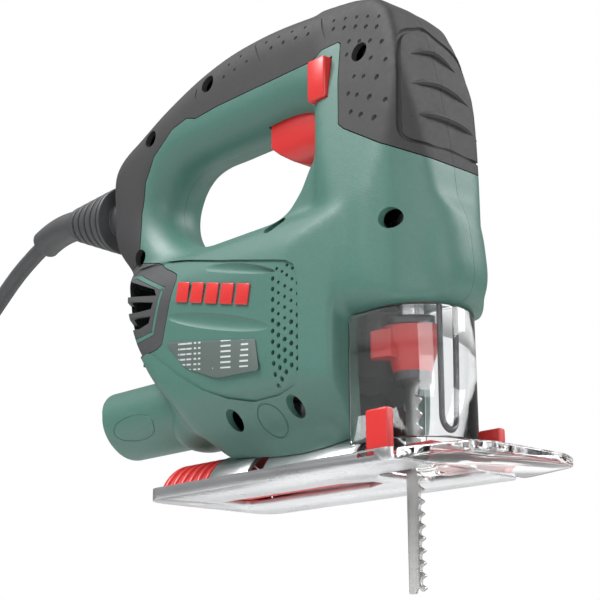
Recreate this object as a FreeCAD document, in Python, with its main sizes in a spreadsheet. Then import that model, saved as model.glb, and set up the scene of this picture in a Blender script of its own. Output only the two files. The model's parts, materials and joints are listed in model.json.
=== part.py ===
"""Corded jigsaw with a bow handle, as a parametric FreeCAD document (millimetres).

The blade's centre line crosses the underside of the shoe at the origin. +X points the way
the saw cuts, +Z up along the blade, and the casing splits in two halves at y = 0.
"""
import FreeCAD, Part
import math
import os
import re
from types import SimpleNamespace

Vector = FreeCAD.Vector
Rotation = FreeCAD.Rotation

# ------------------------------------------------------------------ driving sizes
SIZES = {
    # casing
    "wall": 2.5, "grip_skin": 1.2, "running_gap": 0.3, "seat_gap": 0.1,
    "nose_front": 27.4, "casing_rear": 172, "foot_height": 15, "nose_under": 57,
    "hole_floor": 108, "finger_gap": 39, "handle_depth": 46.5,
    "hole_front": 36, "hole_rear": 132.5,
    "handle_half_width": 16.5, "barrel_half_width": 32, "nose_half_width": 27,
    "dust_tube_radius": 15.5, "dust_bore_radius": 12.6, "dust_tube_rear": 174,
    "dust_axis_height": 41.5, "boss_radius": 4.5, "screw_radius": 1.8, "screw_head_radius": 3.3,
    # motor and gears
    "motor_axis_height": 62, "stator_radius": 27, "rear_bearing_radius": 8, "rotor_radius": 16.5,
    "rotor_length": 46, "air_gap": 0.8, "shaft_radius": 4, "fan_radius": 24, "commutator_radius": 11,
    "gear_module": 0.9, "pinion_teeth": 10, "gear_teeth": 46, "gear_width": 9,
    # cutting drive
    "stroke": 20, "rod_radius": 4.5, "clamp_radius": 6.8, "collar_radius": 10.8,
    "blade_width": 7.4, "blade_thickness": 1.3, "blade_reach": 40, "tooth_pitch": 4.2,
    # shoe
    "shoe_half_width": 33, "shoe_rear": 113, "shoe_front": 21, "shoe_sheet": 2,
    "rim_height": 4.5, "rim_thickness": 1.6, "saddle_radius": 18.8, "saddle_sheet": 1.6,
    # hood, sight and controls
    "hood_radius": 20.7, "hood_sheet": 2, "sight_thickness": 3.6,
    "trigger_half_width": 8.5, "trigger_travel": 5, "button_travel": 4,
    # mains lead
    "cord_diameter": 8, "coil_height": 24, "coil_outer": 60, "coil_inner": 28,
    "bench_level": -90,
}

doc = FreeCAD.newDocument("Jigsaw")
sheet = doc.addObject("Spreadsheet::Sheet", "Sizes")
for row, (alias, number) in enumerate(SIZES.items(), 1):
    sheet.set(f"A{row}", alias)
    sheet.set(f"B{row}", str(number))
    sheet.setAlias(f"B{row}", alias)
doc.recompute()
v = SimpleNamespace(**{alias: float(sheet.get(alias)) for alias in SIZES})

# heights and places that follow from the driving sizes
v.hole_roof = v.hole_floor + v.finger_gap
v.crown = v.hole_roof + v.handle_depth
v.groove_radius = v.saddle_radius + v.running_gap
v.gear_distance = v.gear_module * (v.pinion_teeth + v.gear_teeth) / 2
v.gear_axis_height = v.motor_axis_height + v.gear_distance
v.yoke_height = v.gear_axis_height + v.stroke / 2

TURNS = {
    "Z": Rotation(),
    "-Z": Rotation(Vector(1, 0, 0), 180),
    "X": Rotation(Vector(0, 1, 0), 90),
    "-X": Rotation(Vector(0, 1, 0), -90),
    "Y": Rotation(Vector(1, 0, 0), -90),
    "-Y": Rotation(Vector(1, 0, 0), 90),
}
NODES = []


# ------------------------------------------------------------------ ways of making
def bind(thing, **rules):
    """Ties properties to rules over the sheet's aliases."""
    for name, rule in rules.items():
        thing.setExpression(name, re.sub(r"[a-z_]{4,}", lambda m: "Sizes." + m.group(0), str(rule)))
    return thing


def place(thing, at=(0, 0, 0), along="Z"):
    turn = TURNS[along] if isinstance(along, str) else along
    thing.Placement = FreeCAD.Placement(Vector(*at), turn)
    return thing


def cylinder(name, radius, height, at=(0, 0, 0), along="Z"):
    return place(bind(doc.addObject("Part::Cylinder", name), Radius=radius, Height=height), at, along)


def cone(name, low_radius, high_radius, height, at=(0, 0, 0), along="Z"):
    made = bind(doc.addObject("Part::Cone", name), Radius1=low_radius, Radius2=high_radius, Height=height)
    return place(made, at, along)


def box(name, length, width, height, at=(0, 0, 0)):
    return place(bind(doc.addObject("Part::Box", name), Length=length, Width=width, Height=height), at)


def fuse(name, *things):
    made = doc.addObject("Part::MultiFuse", name)
    made.Shapes = list(things)
    return made


def common(name, *things):
    made = doc.addObject("Part::MultiCommon", name)
    made.Shapes = list(things)
    return made


def cut(name, base, *tools):
    made = doc.addObject("Part::Cut", name)
    made.Base = base
    made.Tool = tools[0] if len(tools) == 1 else group(name + "_tools", *tools)
    return made


def group(name, *things):
    made = doc.addObject("Part::Compound", name)
    made.Links = list(things)
    return made


def tube(name, outer, inner, height, at=(0, 0, 0), along="Z"):
    return cut(name, cylinder(name + "_outer", outer, height, at, along),
               cylinder(name + "_inner", inner, height, at, along))


def node(name, thing):
    """Names the finished sub-part; its shape is written to parts/NAME.step."""
    thing.Label = name
    NODES.append(thing)
    return thing


def corners_of(points):
    """Start, middle and end of each corner; a third number on a point is its radius."""
    made = []
    for i, point in enumerate(points):
        here = Vector(point[0], point[1], 0)
        before = Vector(points[i - 1][0], points[i - 1][1], 0) - here
        after = Vector(*points[(i + 1) % len(points)][:2], 0) - here
        radius = point[2] if len(point) > 2 else 0
        if not radius:
            made.append((here, None, here))
            continue
        half = before.getAngle(after) / 2
        reach = min(radius / math.tan(half), 0.48 * min(before.Length, after.Length))
        radius = reach * math.tan(half)
        before.normalize()
        after.normalize()
        middle = here + (before + after).normalize() * (radius / math.sin(half) - radius)
        made.append((here + before * reach, middle, here + after * reach))
    return made


def draw(sketch, points):
    """Draws a closed outline of straight runs and corner arcs, or a circle (x, y, radius)."""
    if not isinstance(points, list):
        sketch.addGeometry(Part.Circle(Vector(points[0], points[1], 0), Vector(0, 0, 1), points[2]))
        return
    made = corners_of(points)
    for i, (start, middle, end) in enumerate(made):
        if middle is not None:
            sketch.addGeometry(Part.Arc(start, middle, end))
        following = made[(i + 1) % len(made)][0]
        if (following - end).Length > 1e-6:
            sketch.addGeometry(Part.LineSegment(end, following))


def slab(name, plane, loops, length, start=0.0, middle=False):
    """A body padded from outlines on XY, XZ or YZ; pads run to +Z, -Y and +X."""
    body = doc.addObject("PartDesign::Body", name)
    add_pad(body, name, plane, loops, length, start, middle)
    return body


def add_sketch(body, name, plane, loops, start):
    sketch = body.newObject("Sketcher::SketchObject", name + "_sketch")
    ground = [p for p in body.Origin.OriginFeatures if p.Role == plane + "_Plane"][0]
    sketch.AttachmentSupport = (ground, [""])
    sketch.MapMode = "FlatFace"
    sketch.AttachmentOffset = FreeCAD.Placement(Vector(0, 0, start), Rotation())
    for loop in loops:
        draw(sketch, loop)
    return sketch


def add_pad(body, name, plane, loops, length, start=0.0, middle=False):
    sketch = add_sketch(body, name, plane, loops, start)
    pad = body.newObject("PartDesign::Pad", name + "_pad")
    pad.Profile = sketch
    if middle:
        pad.SideType = "Symmetric"
    bind(pad, Length=length)
    return pad


def add_pocket(body, name, plane, loops, length, start=0.0, flip=False):
    """A pocket cuts against the sketch's normal, or along it when flipped."""
    sketch = add_sketch(body, name, plane, loops, start)
    pocket = body.newObject("PartDesign::Pocket", name + "_pocket")
    pocket.Profile = sketch
    pocket.Reversed = flip
    bind(pocket, Length=length)
    return pocket


def spun(name, profile, plane="XZ", axis="Z"):
    """A body revolved about one of its own axes from a closed profile."""
    body = doc.addObject("PartDesign::Body", name)
    sketch = add_sketch(body, name, plane, [profile], 0)
    turn = body.newObject("PartDesign::Revolution", name + "_turn")
    turn.Profile = sketch
    turn.ReferenceAxis = ([a for a in body.Origin.OriginFeatures if a.Role == axis + "_Axis"][0], [""])
    turn.Angle = 360
    return body


def inset(points, distance):
    """The outline moved inwards by a distance, its corner radii following."""
    area = sum(a[0] * b[1] - b[0] * a[1] for a, b in zip(points, points[1:] + points[:1]))
    side = 1 if area > 0 else -1
    moved = []
    for i, point in enumerate(points):
        ends = (points[i - 1], point, points[(i + 1) % len(points)])
        lines = []
        for first, second in zip(ends, ends[1:]):
            run = Vector(second[0] - first[0], second[1] - first[1], 0).normalize()
            inward = Vector(-run.y, run.x, 0) * side
            lines.append((Vector(first[0], first[1], 0) + inward * distance, run))
        (p, u), (q, w) = lines
        across = u.x * w.y - u.y * w.x
        step = 0.0 if abs(across) < 1e-9 else ((q - p).x * w.y - (q - p).y * w.x) / across
        here = p + u * step if step else q
        radius = point[2] if len(point) > 2 else 0
        if radius:
            radius = max(0.5, radius - distance * side * (1 if across > 0 else -1))
        moved.append((here.x, here.y, radius))
    return moved


def mirrored(half):
    """A closed outline from its half at positive first coordinate, listed from low to high."""
    return half + [(-p[0],) + tuple(p[1:]) for p in reversed(half)]


# ------------------------------------------------------------------ casing outlines
FRONT_FACE = -12.0               # the lower casing's front, behind the blade clamp
HOOD_LOW = 10.2                  # the hood's lower edge, above the shoe's underside
BAY_DEPTH = 5.0                  # channel in the lower casing's front, behind the blade clamp


def side_outline():
    """The casing seen from its side, from the front of the foot, up the nose and round."""
    nose, rear, top, under = v.nose_front, -v.casing_rear, v.crown, v.nose_under
    floor = v.hole_floor
    return [
        (FRONT_FACE, v.foot_height), (FRONT_FACE, under), (nose - 8.4, under),
        (nose, under + 9, 3), (nose - 1, under + 29), (nose - 6, under + 41), (nose - 5, under + 51),
        (nose - 9.6, under + 85, 30), (nose - 19.5, top - 17.5, 14), (nose - 42, top - 7, 60),
        (-48, top - 1.3, 60), (-72, top, 60), (-97, top - 2, 60), (rear + 44, top - 11, 60),
        (rear + 4, top - 30.5, 8), (rear, top - 39, 5), (rear + 3, floor + 11.5, 6),
        (rear + 13, floor - 0.5, 6), (rear + 18, floor - 9.5), (rear + 23, floor - 28.5),
        (rear + 30, floor - 42, 8), (rear + 38, floor - 58),
        (rear + 40, v.dust_axis_height - v.dust_tube_radius), (-93, 24), (-85, v.foot_height),
    ]


def hole_outline():
    """The finger hole of the bow handle."""
    floor, roof = v.hole_floor, v.hole_roof
    return [
        (-v.hole_front - 2, floor - 2, 15), (-v.hole_rear + 16, floor + 3, 13),
        (-v.hole_rear - 1, floor + 22, 16), (-v.hole_rear + 11, roof, 13), (-v.hole_front, roof, 9),
    ]


def barrel_section():
    """The motor barrel seen from the front."""
    half, floor = v.barrel_half_width, v.hole_floor
    return mirrored([
        (13.5, v.foot_height), (22, v.foot_height + 9, 6), (half, 40, 14), (half, floor - 21, 16),
        (half - 12, floor - 3, 12),
    ])


def nose_section():
    """The gear head seen from the front."""
    half, under, top = v.nose_half_width, v.nose_under, v.crown
    return mirrored([
        (half - 5, under), (half, under + 9, 6), (half, under + 40, 20), (half - 2.5, under + 62, 20),
        (half - 5, under + 90, 20), (half - 9, top - 14, 8), (half - 17, top, 8),
    ])


def nose_plan():
    """The gear head seen from above."""
    half, nose = v.nose_half_width, v.nose_front
    return [(-36, -16), (-14, -half, 14), (nose - 14, -half, 12), (nose - 2, -10, 8),
            (nose + 0.2, 0, 8), (nose - 2, 10, 8), (nose - 14, half, 12), (-14, half, 14), (-36, 16)]


def barrel_outline():
    """The stretch of the side view that the motor barrel's width holds for."""
    rear, floor = -v.casing_rear, v.hole_floor
    return [
        (FRONT_FACE, v.foot_height), (FRONT_FACE, v.nose_under), (-9, v.nose_under), (-9, floor - 3),
        (-v.hole_front - 2, floor - 2.5), (-v.hole_rear + 16, floor + 2.5),
        (rear + 16, floor - 4.5), (rear + 23, floor - 28.5),
        (rear + 30, floor - 42, 8), (rear + 38, floor - 58), (rear + 60, 26), (-93, 24),
        (-85, v.foot_height),
    ]


def barrel_plan():
    """The motor barrel seen from above, rounded at its rear."""
    half, rear = v.barrel_half_width, -v.casing_rear
    neck = v.nose_half_width
    return [(rear + 12, -14, 10), (rear + 38, -half, 24), (-40, -half, 30), (-10, -neck, 10), (-8, -neck),
            (-8, neck), (-10, neck, 10), (-40, half, 30), (rear + 38, half, 24), (rear + 12, 14, 10)]


def casing_solid(name, depth):
    """The whole casing as one solid, its skin moved inwards by a depth."""
    ring = slab(f"{name}_ring", "XZ", [inset(side_outline(), depth), inset(hole_outline(), -depth)],
                f"2 * (handle_half_width - {depth})", middle=True)
    barrel = common(
        f"{name}_barrel",
        slab(f"{name}_barrel_side", "XZ", [inset(barrel_outline(), depth)],
             f"2 * (barrel_half_width - {depth})", middle=True),
        slab(f"{name}_barrel_front", "YZ", [inset(barrel_section(), depth)], "casing_rear",
             start=-v.casing_rear),
        slab(f"{name}_barrel_top", "XY", [inset(barrel_plan(), depth)], "200"))
    head = common(
        f"{name}_head",
        slab(f"{name}_head_side", "XZ", [inset(side_outline(), depth)], "100", middle=True),
        slab(f"{name}_head_front", "YZ", [inset(nose_section(), depth)], "100", start=-36),
        slab(f"{name}_head_top", "XY", [inset(nose_plan(), depth)], "300"))
    return fuse(f"{name}_solid", ring, barrel, head)


BEHIND = -v.casing_rear - 48     # clear of everything at the casing's rear
GRIP = [
    (BEHIND, 107), (-141, 107, 6), (-142.5, 130, 20), (-141, 142, 14), (-135, 153, 10), (-120, 164.5, 4),
    (-111, 166, 3), (-104, 164), (-33, 164), (-31, 167, 2), (-28.5, 169, 2), (-17.5, 169, 2),
    (-16, 166, 2), (-15, 131, 3), (24, 108.5), (70, 96), (70, 260), (BEHIND, 260),
]
VENT = [(BEHIND, 106.6), (-134, 106.6), (-121, 101.5, 4), (-102.5, 91.5, 3), (-110, 63.3, 3),
        (-123, 60.4), (BEHIND, 58)]
SCREWS = [
    # along the casing, up, and how far the recess's floor is from the split
    (-97.6, 176.6, 8.0), (-5.0, 157.3, 12.0), (-136.7, 163.4, 8.0), (12.4, 86.7, 14.0),
    (-46.7, 98.6, 14.0), (-68.8, 26.7, 14.0), (-34.9, 26.9, 12.0), (-142.0, 109.5, 8.0),
]
DUCT = (-141.0, -121.0, 10.0)    # inner dust duct: its two ends along the casing and its radius
BOOT_ROOT = Vector(-v.casing_rear + 12, 0, v.crown - 57.6)
BOOT_TILT = Rotation(Vector(1, 0, 0), Vector(-0.981, 0, 0.194))
MOTOR = {
    "rear_bearing": (-133.0, 5.0), "commutator": (-127.6, 8.2), "core": (-113.0, v.rotor_length),
    "fan": (-57.0, 9.0), "plate": (-35.0, 9.0), "gear": (-24.5, v.gear_width),
}


def carriers():
    """Bulkheads and ribs inside the casing that hold the motor, bushes and switch."""
    inner = casing_solid("seat", v.wall - 0.4)
    axis = v.motor_axis_height
    start, width = MOTOR["rear_bearing"]
    slabs = [
        cut("rear_bulkhead", box("rear_bulkhead_block", width - 1, 80, 52, (start + 0.5, -40, axis - 24)),
            cylinder("rear_bulkhead_bore", "rear_bearing_radius + seat_gap", 20, (start - 5, 0, axis),
                     "X")),
    ]
    core, length = MOTOR["core"]
    for tag, offset in (("front", length - 6.0), ("back", 2.0)):
        slabs.append(cut(
            f"stator_rib_{tag}", box(f"stator_rib_{tag}_block", 4, 80, 46, (core + offset, -40, axis - 23)),
            cylinder(f"stator_rib_{tag}_bore", f"stator_radius + {v.seat_gap}", 20,
                     (core + offset - 5, 0, axis), "X")))
    slabs.append(box("clamp_bay_wall", BAY_DEPTH + v.wall, 28.4, 41.2,
                     (FRONT_FACE - BAY_DEPTH - v.wall, -14.2, v.foot_height)))
    for tag, level, depth in (("low", v.nose_under + v.wall - 1, 8.9),
                              ("high", v.gear_axis_height + 39, 8.0)):
        slabs.append(cut(
            f"bush_shelf_{tag}", box(f"bush_shelf_{tag}_block", 60, 60, depth, (-10.3, -30, level)),
            cylinder(f"bush_shelf_{tag}_bore", f"rod_radius + 3.5 + {v.seat_gap}", 20,
                     (0, 0, level - 5))))
    for tag, start, length, level, height, reach in (
            ("switch", -68, 30, v.hole_roof + 15, 12, 9.7),
            ("clamp", 16 - v.casing_rear, 9.5, v.hole_roof - 14, 10, 9.2),
            ("brush", -127.4, 7.8, v.motor_axis_height - 5, 10, 24.3)):
        slabs.append(cut(
            f"{tag}_rib", box(f"{tag}_rib_block", length, 80, height, (start, -40, level)),
            box(f"{tag}_rib_gap", length + 2, 2 * reach, height + 2, (start - 1, -reach, level - 1))))
    return common("carriers", inner, fuse("carrier_slabs", *slabs))


def casing_openings():
    """Everything cut through the casing's walls."""
    bottom = cylinder("groove", "saddle_radius + running_gap", "casing_rear", (-v.casing_rear, 0, 0), "X")
    axis, mouth = v.dust_axis_height, -v.dust_tube_rear
    dust = cylinder("dust_bore", "dust_bore_radius", f"dust_tube_rear + 10 - {-DUCT[0]}",
                    (mouth - 10, 0, axis), "X")
    duct = cylinder("duct_bore", DUCT[2] - 2, DUCT[1] - DUCT[0] + 6, (DUCT[0] - 3, 0, axis - 3.5), "X")
    spout = box("spout_cut", 100, 60, 90)
    slant = Rotation(Vector(0, 1, 0), 43)
    spout.Placement = FreeCAD.Placement(
        Vector(mouth - 2, -30, axis + 6.5) + slant.multVec(Vector(-22, 0, -90)), slant)
    rod = cylinder("rod_opening", "rod_radius + 1", "6", (0, 0, v.nose_under - 2))
    half = v.trigger_half_width + 0.5
    trigger = box("trigger_opening", 30.4, 2 * half, 40, (-67, -half, v.hole_roof - 24))
    button = box("button_opening", 10.4, 30, 17.8, (-30.2, -40, v.hole_roof - 3.6))
    boot = cylinder("boot_opening", "9.6", "14")
    boot.Placement = FreeCAD.Placement(BOOT_ROOT + BOOT_TILT.multVec(Vector(5, 0, 0)),
                                       BOOT_TILT * TURNS["X"])
    suction = box("suction_opening", 12, 18, 13, (-24, -9, 31))
    bay = box("clamp_bay", BAY_DEPTH, 23.4, 37.5, (FRONT_FACE - BAY_DEPTH, -11.7, 17))
    clamp = cylinder("clamp_screw_opening", "3.3", "14", (-52, 0, 17))
    return [bottom, dust, duct, spout, rod, trigger, button, boot, suction, bay, clamp]


def screw_parts():
    """Bosses, recesses and the screws themselves, one set for each place in SCREWS."""
    bosses, recesses, screws = [], [], []
    for i, (along, up, floor) in enumerate(SCREWS):
        bosses.append(cylinder(f"boss_{i}", "boss_radius", "80", (along, -40, up), "Y"))
        recesses.append(cylinder(f"recess_{i}", "screw_head_radius + 0.6", "40", (along, -floor, up),
                                 "-Y"))
        recesses.append(cylinder(f"pilot_{i}", "screw_radius + 0.1", f"{floor + 9}",
                                 (along, -floor - 1, up), "Y"))
        head = cylinder(f"screw_head_{i}", "screw_head_radius", "2.4", (along, -floor - 0.1, up), "-Y")
        socket = cylinder(f"screw_socket_{i}", "1.5", "2", (along, -floor - 1.2, up), "-Y")
        shank = cylinder(f"screw_shank_{i}", "screw_radius", f"{floor + 7}", (along, -floor - 0.6, up),
                         "Y")
        screws.append(fuse(f"screw_{i}", cut(f"screw_top_{i}", head, socket), shank))
    return bosses, recesses, screws


def casing():
    """Both casing halves, their soft grip skins, the rear vent band and the screws."""
    outer = casing_solid("outer", 0.0)
    cavity = cut("cavity", casing_solid("inner", v.wall),
                 cylinder("groove_wall", "saddle_radius + running_gap + wall", "casing_rear",
                          (-v.casing_rear, 0, 0), "X"))
    spout = cylinder("spout", "dust_tube_radius", "60", (-v.dust_tube_rear, 0, v.dust_axis_height), "X")
    bosses, recesses, screws = screw_parts()
    grip_zone = slab("grip_zone", "XZ", [GRIP], "120", middle=True)
    vent_zone = slab("vent_zone", "XZ", [VENT], "120", middle=True)
    under_skin = casing_solid("under_skin", v.grip_skin)
    grip = cut("grip_skin_whole", common("grip_stock", outer, grip_zone), under_skin)
    shell = cut("shell_walls", outer, cavity)
    spout_wall = cut("spout_wall", spout, box("spout_end", 60, 40, 40, (DUCT[0] + 2, -20, 20)))
    duct = cylinder("duct_wall", DUCT[2], DUCT[1] - DUCT[0], (DUCT[0], 0, v.dust_axis_height - 3.5), "X")
    inside = common("boss_stock", outer, fuse("all_bosses", *bosses))
    whole = fuse("casing_whole", shell, spout_wall, duct, carriers(), inside)
    openings = casing_openings()
    slots = [box(f"vent_slot_{i}", 60, 100, 4, (-v.casing_rear - 22 + 6 * i, -50, 71 + 9.5 * i))
             for i in range(3)]
    vent = cut("vent_stock", common("vent_stock_whole", shell, vent_zone), *recesses, *slots)
    hard = cut("casing_hard", whole, grip_zone_shell(outer, grip_zone, under_skin),
               common("vent_slot_in_casing", shell, vent_zone), *openings, *recesses)
    skin = cut("grip_cut", grip, *[o for o in openings if o.Name in
                                   ("boot_opening", "button_opening", "trigger_opening")], *recesses)
    for side, low in (("right", -60), ("left", 0)):
        space = box(f"{side}_half_space", 260, 60, 260, (-200, low, -10))
        node(f"housing_{side}", common(f"housing_{side}_half", hard, space))
        skin_space = box(f"{side}_skin_space", 260, 60, 260, (-200, low, -10))
        node(f"grip_{side}", common(f"grip_{side}_half", skin, skin_space))
    node("vent_band", vent)
    node("housing_screws", group("housing_screw_set", *screws))


def grip_zone_shell(outer, grip_zone, under_skin):
    """What the soft skin takes from the hard shell."""
    return cut("skin_seat", common("skin_seat_stock", outer, grip_zone), under_skin)


# ------------------------------------------------------------------ motor
def motor():
    axis = v.motor_axis_height
    core, length = MOTOR["core"]
    bore = f"rotor_radius + {v.air_gap}"
    node("stator", tube("stator_ring", "stator_radius", bore, "rotor_length", (core, 0, axis), "X"))
    coils = []
    for tag, start in (("rear", core - 6.2), ("front", core + length + 0.2)):
        ring = tube(f"field_coil_{tag}", "stator_radius - 1.5", "rotor_radius + 1.6", "6",
                    (start, 0, axis), "X")
        coils.append(cut(f"field_coils_{tag}", ring, box(f"coil_gap_{tag}", 8, 80, 7,
                                                         (start - 1, -40, axis - 3.5))))
    node("field_coils", group("field_coil_set", *coils))
    first, last = MOTOR["rear_bearing"][0], MOTOR["gear"][0] + v.gear_width + 1
    shoulder = MOTOR["gear"][0] - 1.5
    node("armature_shaft", fuse(
        "armature_shaft_body",
        cylinder("shaft_main", "shaft_radius", shoulder - first - 6.5, (first + 6.5, 0, axis), "X"),
        cylinder("shaft_tail", "3", "7", (first, 0, axis), "X"),
        cylinder("shaft_nose", "shaft_radius - 0.9", last - shoulder + 1, (shoulder - 1, 0, axis), "X")))
    bored = f"shaft_radius + {v.seat_gap / 2}"
    core_body = doc.addObject("PartDesign::Body", "armature_core_body")
    add_pad(core_body, "armature_core", "YZ",
            [(0, axis, v.rotor_radius), (0, axis, v.shaft_radius + 0.05)], "rotor_length", start=core)
    slot = add_pocket(core_body, "armature_slot", "YZ",
                      [[(-1.4, axis + 8), (1.4, axis + 8), (0.9, axis + 20), (-0.9, axis + 20)]],
                      "rotor_length + 2", start=core + length + 1)
    around(core_body, slot, 12, axis)
    node("armature_core", core_body)
    ends = [cone("winding_rear", 12.5, 15.3, 5, (core - 5.2, 0, axis), "X"),
            cone("winding_front", 15.3, 12.5, 6, (core + length + 0.2, 0, axis), "X")]
    node("armature_windings", group("winding_ends", *[
        cut(f"winding_end_{i}", end,
            cylinder(f"winding_bore_{i}", bored, 20, (end.Placement.Base.x - 5, 0, axis), "X"))
        for i, end in enumerate(ends)]))
    start, width = MOTOR["commutator"]
    bars = doc.addObject("PartDesign::Body", "commutator_body")
    add_pad(bars, "commutator", "YZ",
            [(0, axis, v.commutator_radius), (0, axis, v.shaft_radius + 0.05)], width, start=start)
    groove = add_pocket(bars, "commutator_groove", "YZ",
                        [[(-0.3, axis + v.commutator_radius - 1.2), (0.3, axis + v.commutator_radius - 1.2),
                          (0.3, axis + v.commutator_radius + 1), (-0.3, axis + v.commutator_radius + 1)]],
                        f"{width} + 2", start=start + width + 1)
    around(bars, groove, 18, axis)
    node("commutator", bars)
    fan(axis)
    start, width = MOTOR["rear_bearing"]
    node("rear_bearing", tube("rear_bearing_ring", "rear_bearing_radius", "3.05", width,
                              (start, 0, axis), "X"))
    holders, brushes = [], []
    for tag, side in (("right", -1), ("left", 1)):
        low = v.commutator_radius + 1
        holder = box(f"brush_holder_{tag}", 7.8, 12, 9,
                     (-127.4, low if side > 0 else -low - 12, axis - 4.5))
        slot = box(f"brush_slot_{tag}", 5.2, 16, 6.2,
                   (-126.1, low - 2 if side > 0 else -low - 14, axis - 3.1))
        holders.append(cut(f"brush_box_{tag}", holder, slot))
        reach = v.commutator_radius + 0.1
        brushes.append(box(f"carbon_brush_{tag}", 5, 10, 6,
                           (-126, reach if side > 0 else -reach - 10, axis - 3)))
    node("brush_holders", group("brush_holder_pair", *holders))
    node("carbon_brushes", group("carbon_brush_pair", *brushes))


def around(body, feature, count, height):
    """Repeats a feature round the motor's axis, which lies along X at a height."""
    axis_sketch = body.newObject("Sketcher::SketchObject", feature.Name + "_axis")
    ground = [p for p in body.Origin.OriginFeatures if p.Role == "XZ_Plane"][0]
    axis_sketch.AttachmentSupport = (ground, [""])
    axis_sketch.MapMode = "FlatFace"
    axis_sketch.addGeometry(Part.LineSegment(Vector(-200, height, 0), Vector(50, height, 0)), True)
    pattern = body.newObject("PartDesign::PolarPattern", feature.Name + "_ring")
    pattern.Originals = [feature]
    pattern.Axis = (axis_sketch, ["Axis0"])
    pattern.Angle = 360
    pattern.Occurrences = count
    body.Tip = pattern


def fan(axis):
    """Cooling fan: a hub and disc with straight blades."""
    start, width = MOTOR["fan"]
    body = doc.addObject("PartDesign::Body", "fan_body")
    add_pad(body, "fan_disc", "YZ", [(0, axis, v.fan_radius), (0, axis, v.shaft_radius + 0.05)], "1.6",
            start=start)
    add_pad(body, "fan_hub", "YZ", [(0, axis, 8), (0, axis, v.shaft_radius + 0.05)], width, start=start)
    blade = add_pad(body, "fan_blade", "YZ",
                    [[(-0.6, axis + 7.5), (0.6, axis + 7.5), (3.6, axis + v.fan_radius - 1),
                      (2.4, axis + v.fan_radius - 1)]], width, start=start)
    around(body, blade, 14, axis)
    node("fan", body)


# ------------------------------------------------------------------ gears and plunger
def toothed(name, teeth, height, start, width, bore, turn=0.0):
    """A spur wheel with straight-sided teeth; turn is in tooth pitches."""
    pitch_radius = v.gear_module * teeth / 2
    root, tip = pitch_radius - 1.15 * v.gear_module, pitch_radius + 0.82 * v.gear_module
    step = 2 * math.pi / teeth
    points = []
    for i in range(int(teeth)):
        middle = (i + turn) * step
        for radius, share in ((root, -0.30), (tip, -0.10), (tip, 0.10), (root, 0.30)):
            angle = middle + share * step
            points.append((radius * math.sin(angle), height + radius * math.cos(angle)))
    return slab(name, "YZ", [points, (0, height, bore)], width, start=start)


def gears():
    start, width = MOTOR["gear"]
    low, high = v.motor_axis_height, v.gear_axis_height
    node("pinion", toothed("pinion_body", v.pinion_teeth, low, start, "gear_width",
                           v.shaft_radius - 0.9 + 0.05))
    wheel = toothed("drive_gear_body", v.gear_teeth, high, start, "gear_width", 4.55, turn=0.5)
    node("drive_gear", wheel)
    pin_start = start + v.gear_width
    node("eccentric_pin", cylinder("eccentric_stud", "3.8", "3.2",
                                   (pin_start + 0.05, 0, high + v.stroke / 2), "X"))
    node("gear_bush", tube("gear_bush_ring", "4.5", "3.05", "gear_width", (start, 0, high), "X"))
    node("gear_axle", cylinder("gear_axle_pin", "3", "14.5", (start - 5.6, 0, high), "X"))
    plate_start, plate_width = MOTOR["plate"]
    stock = common("gear_plate_stock", casing_solid("plate_seat", v.wall + v.seat_gap),
                   box("gear_plate_slab", plate_width, 80, 74, (plate_start, -40, low - 20)))
    node("gear_plate", cut(
        "gear_plate_casting", stock,
        cylinder("front_bearing_seat", f"11 + {v.seat_gap}", "20", (plate_start - 1, 0, low), "X"),
        cylinder("gear_axle_seat", "3.03", "20", (plate_start + 3, 0, high), "X"),
        cylinder("plate_boss_gap", "boss_radius + 0.2", "80", (-34.9, -40, 26.9), "Y")))
    node("front_bearing", tube("front_bearing_ring", "11", "shaft_radius + 0.05", "7",
                               (plate_start + 1, 0, low), "X"))


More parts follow.
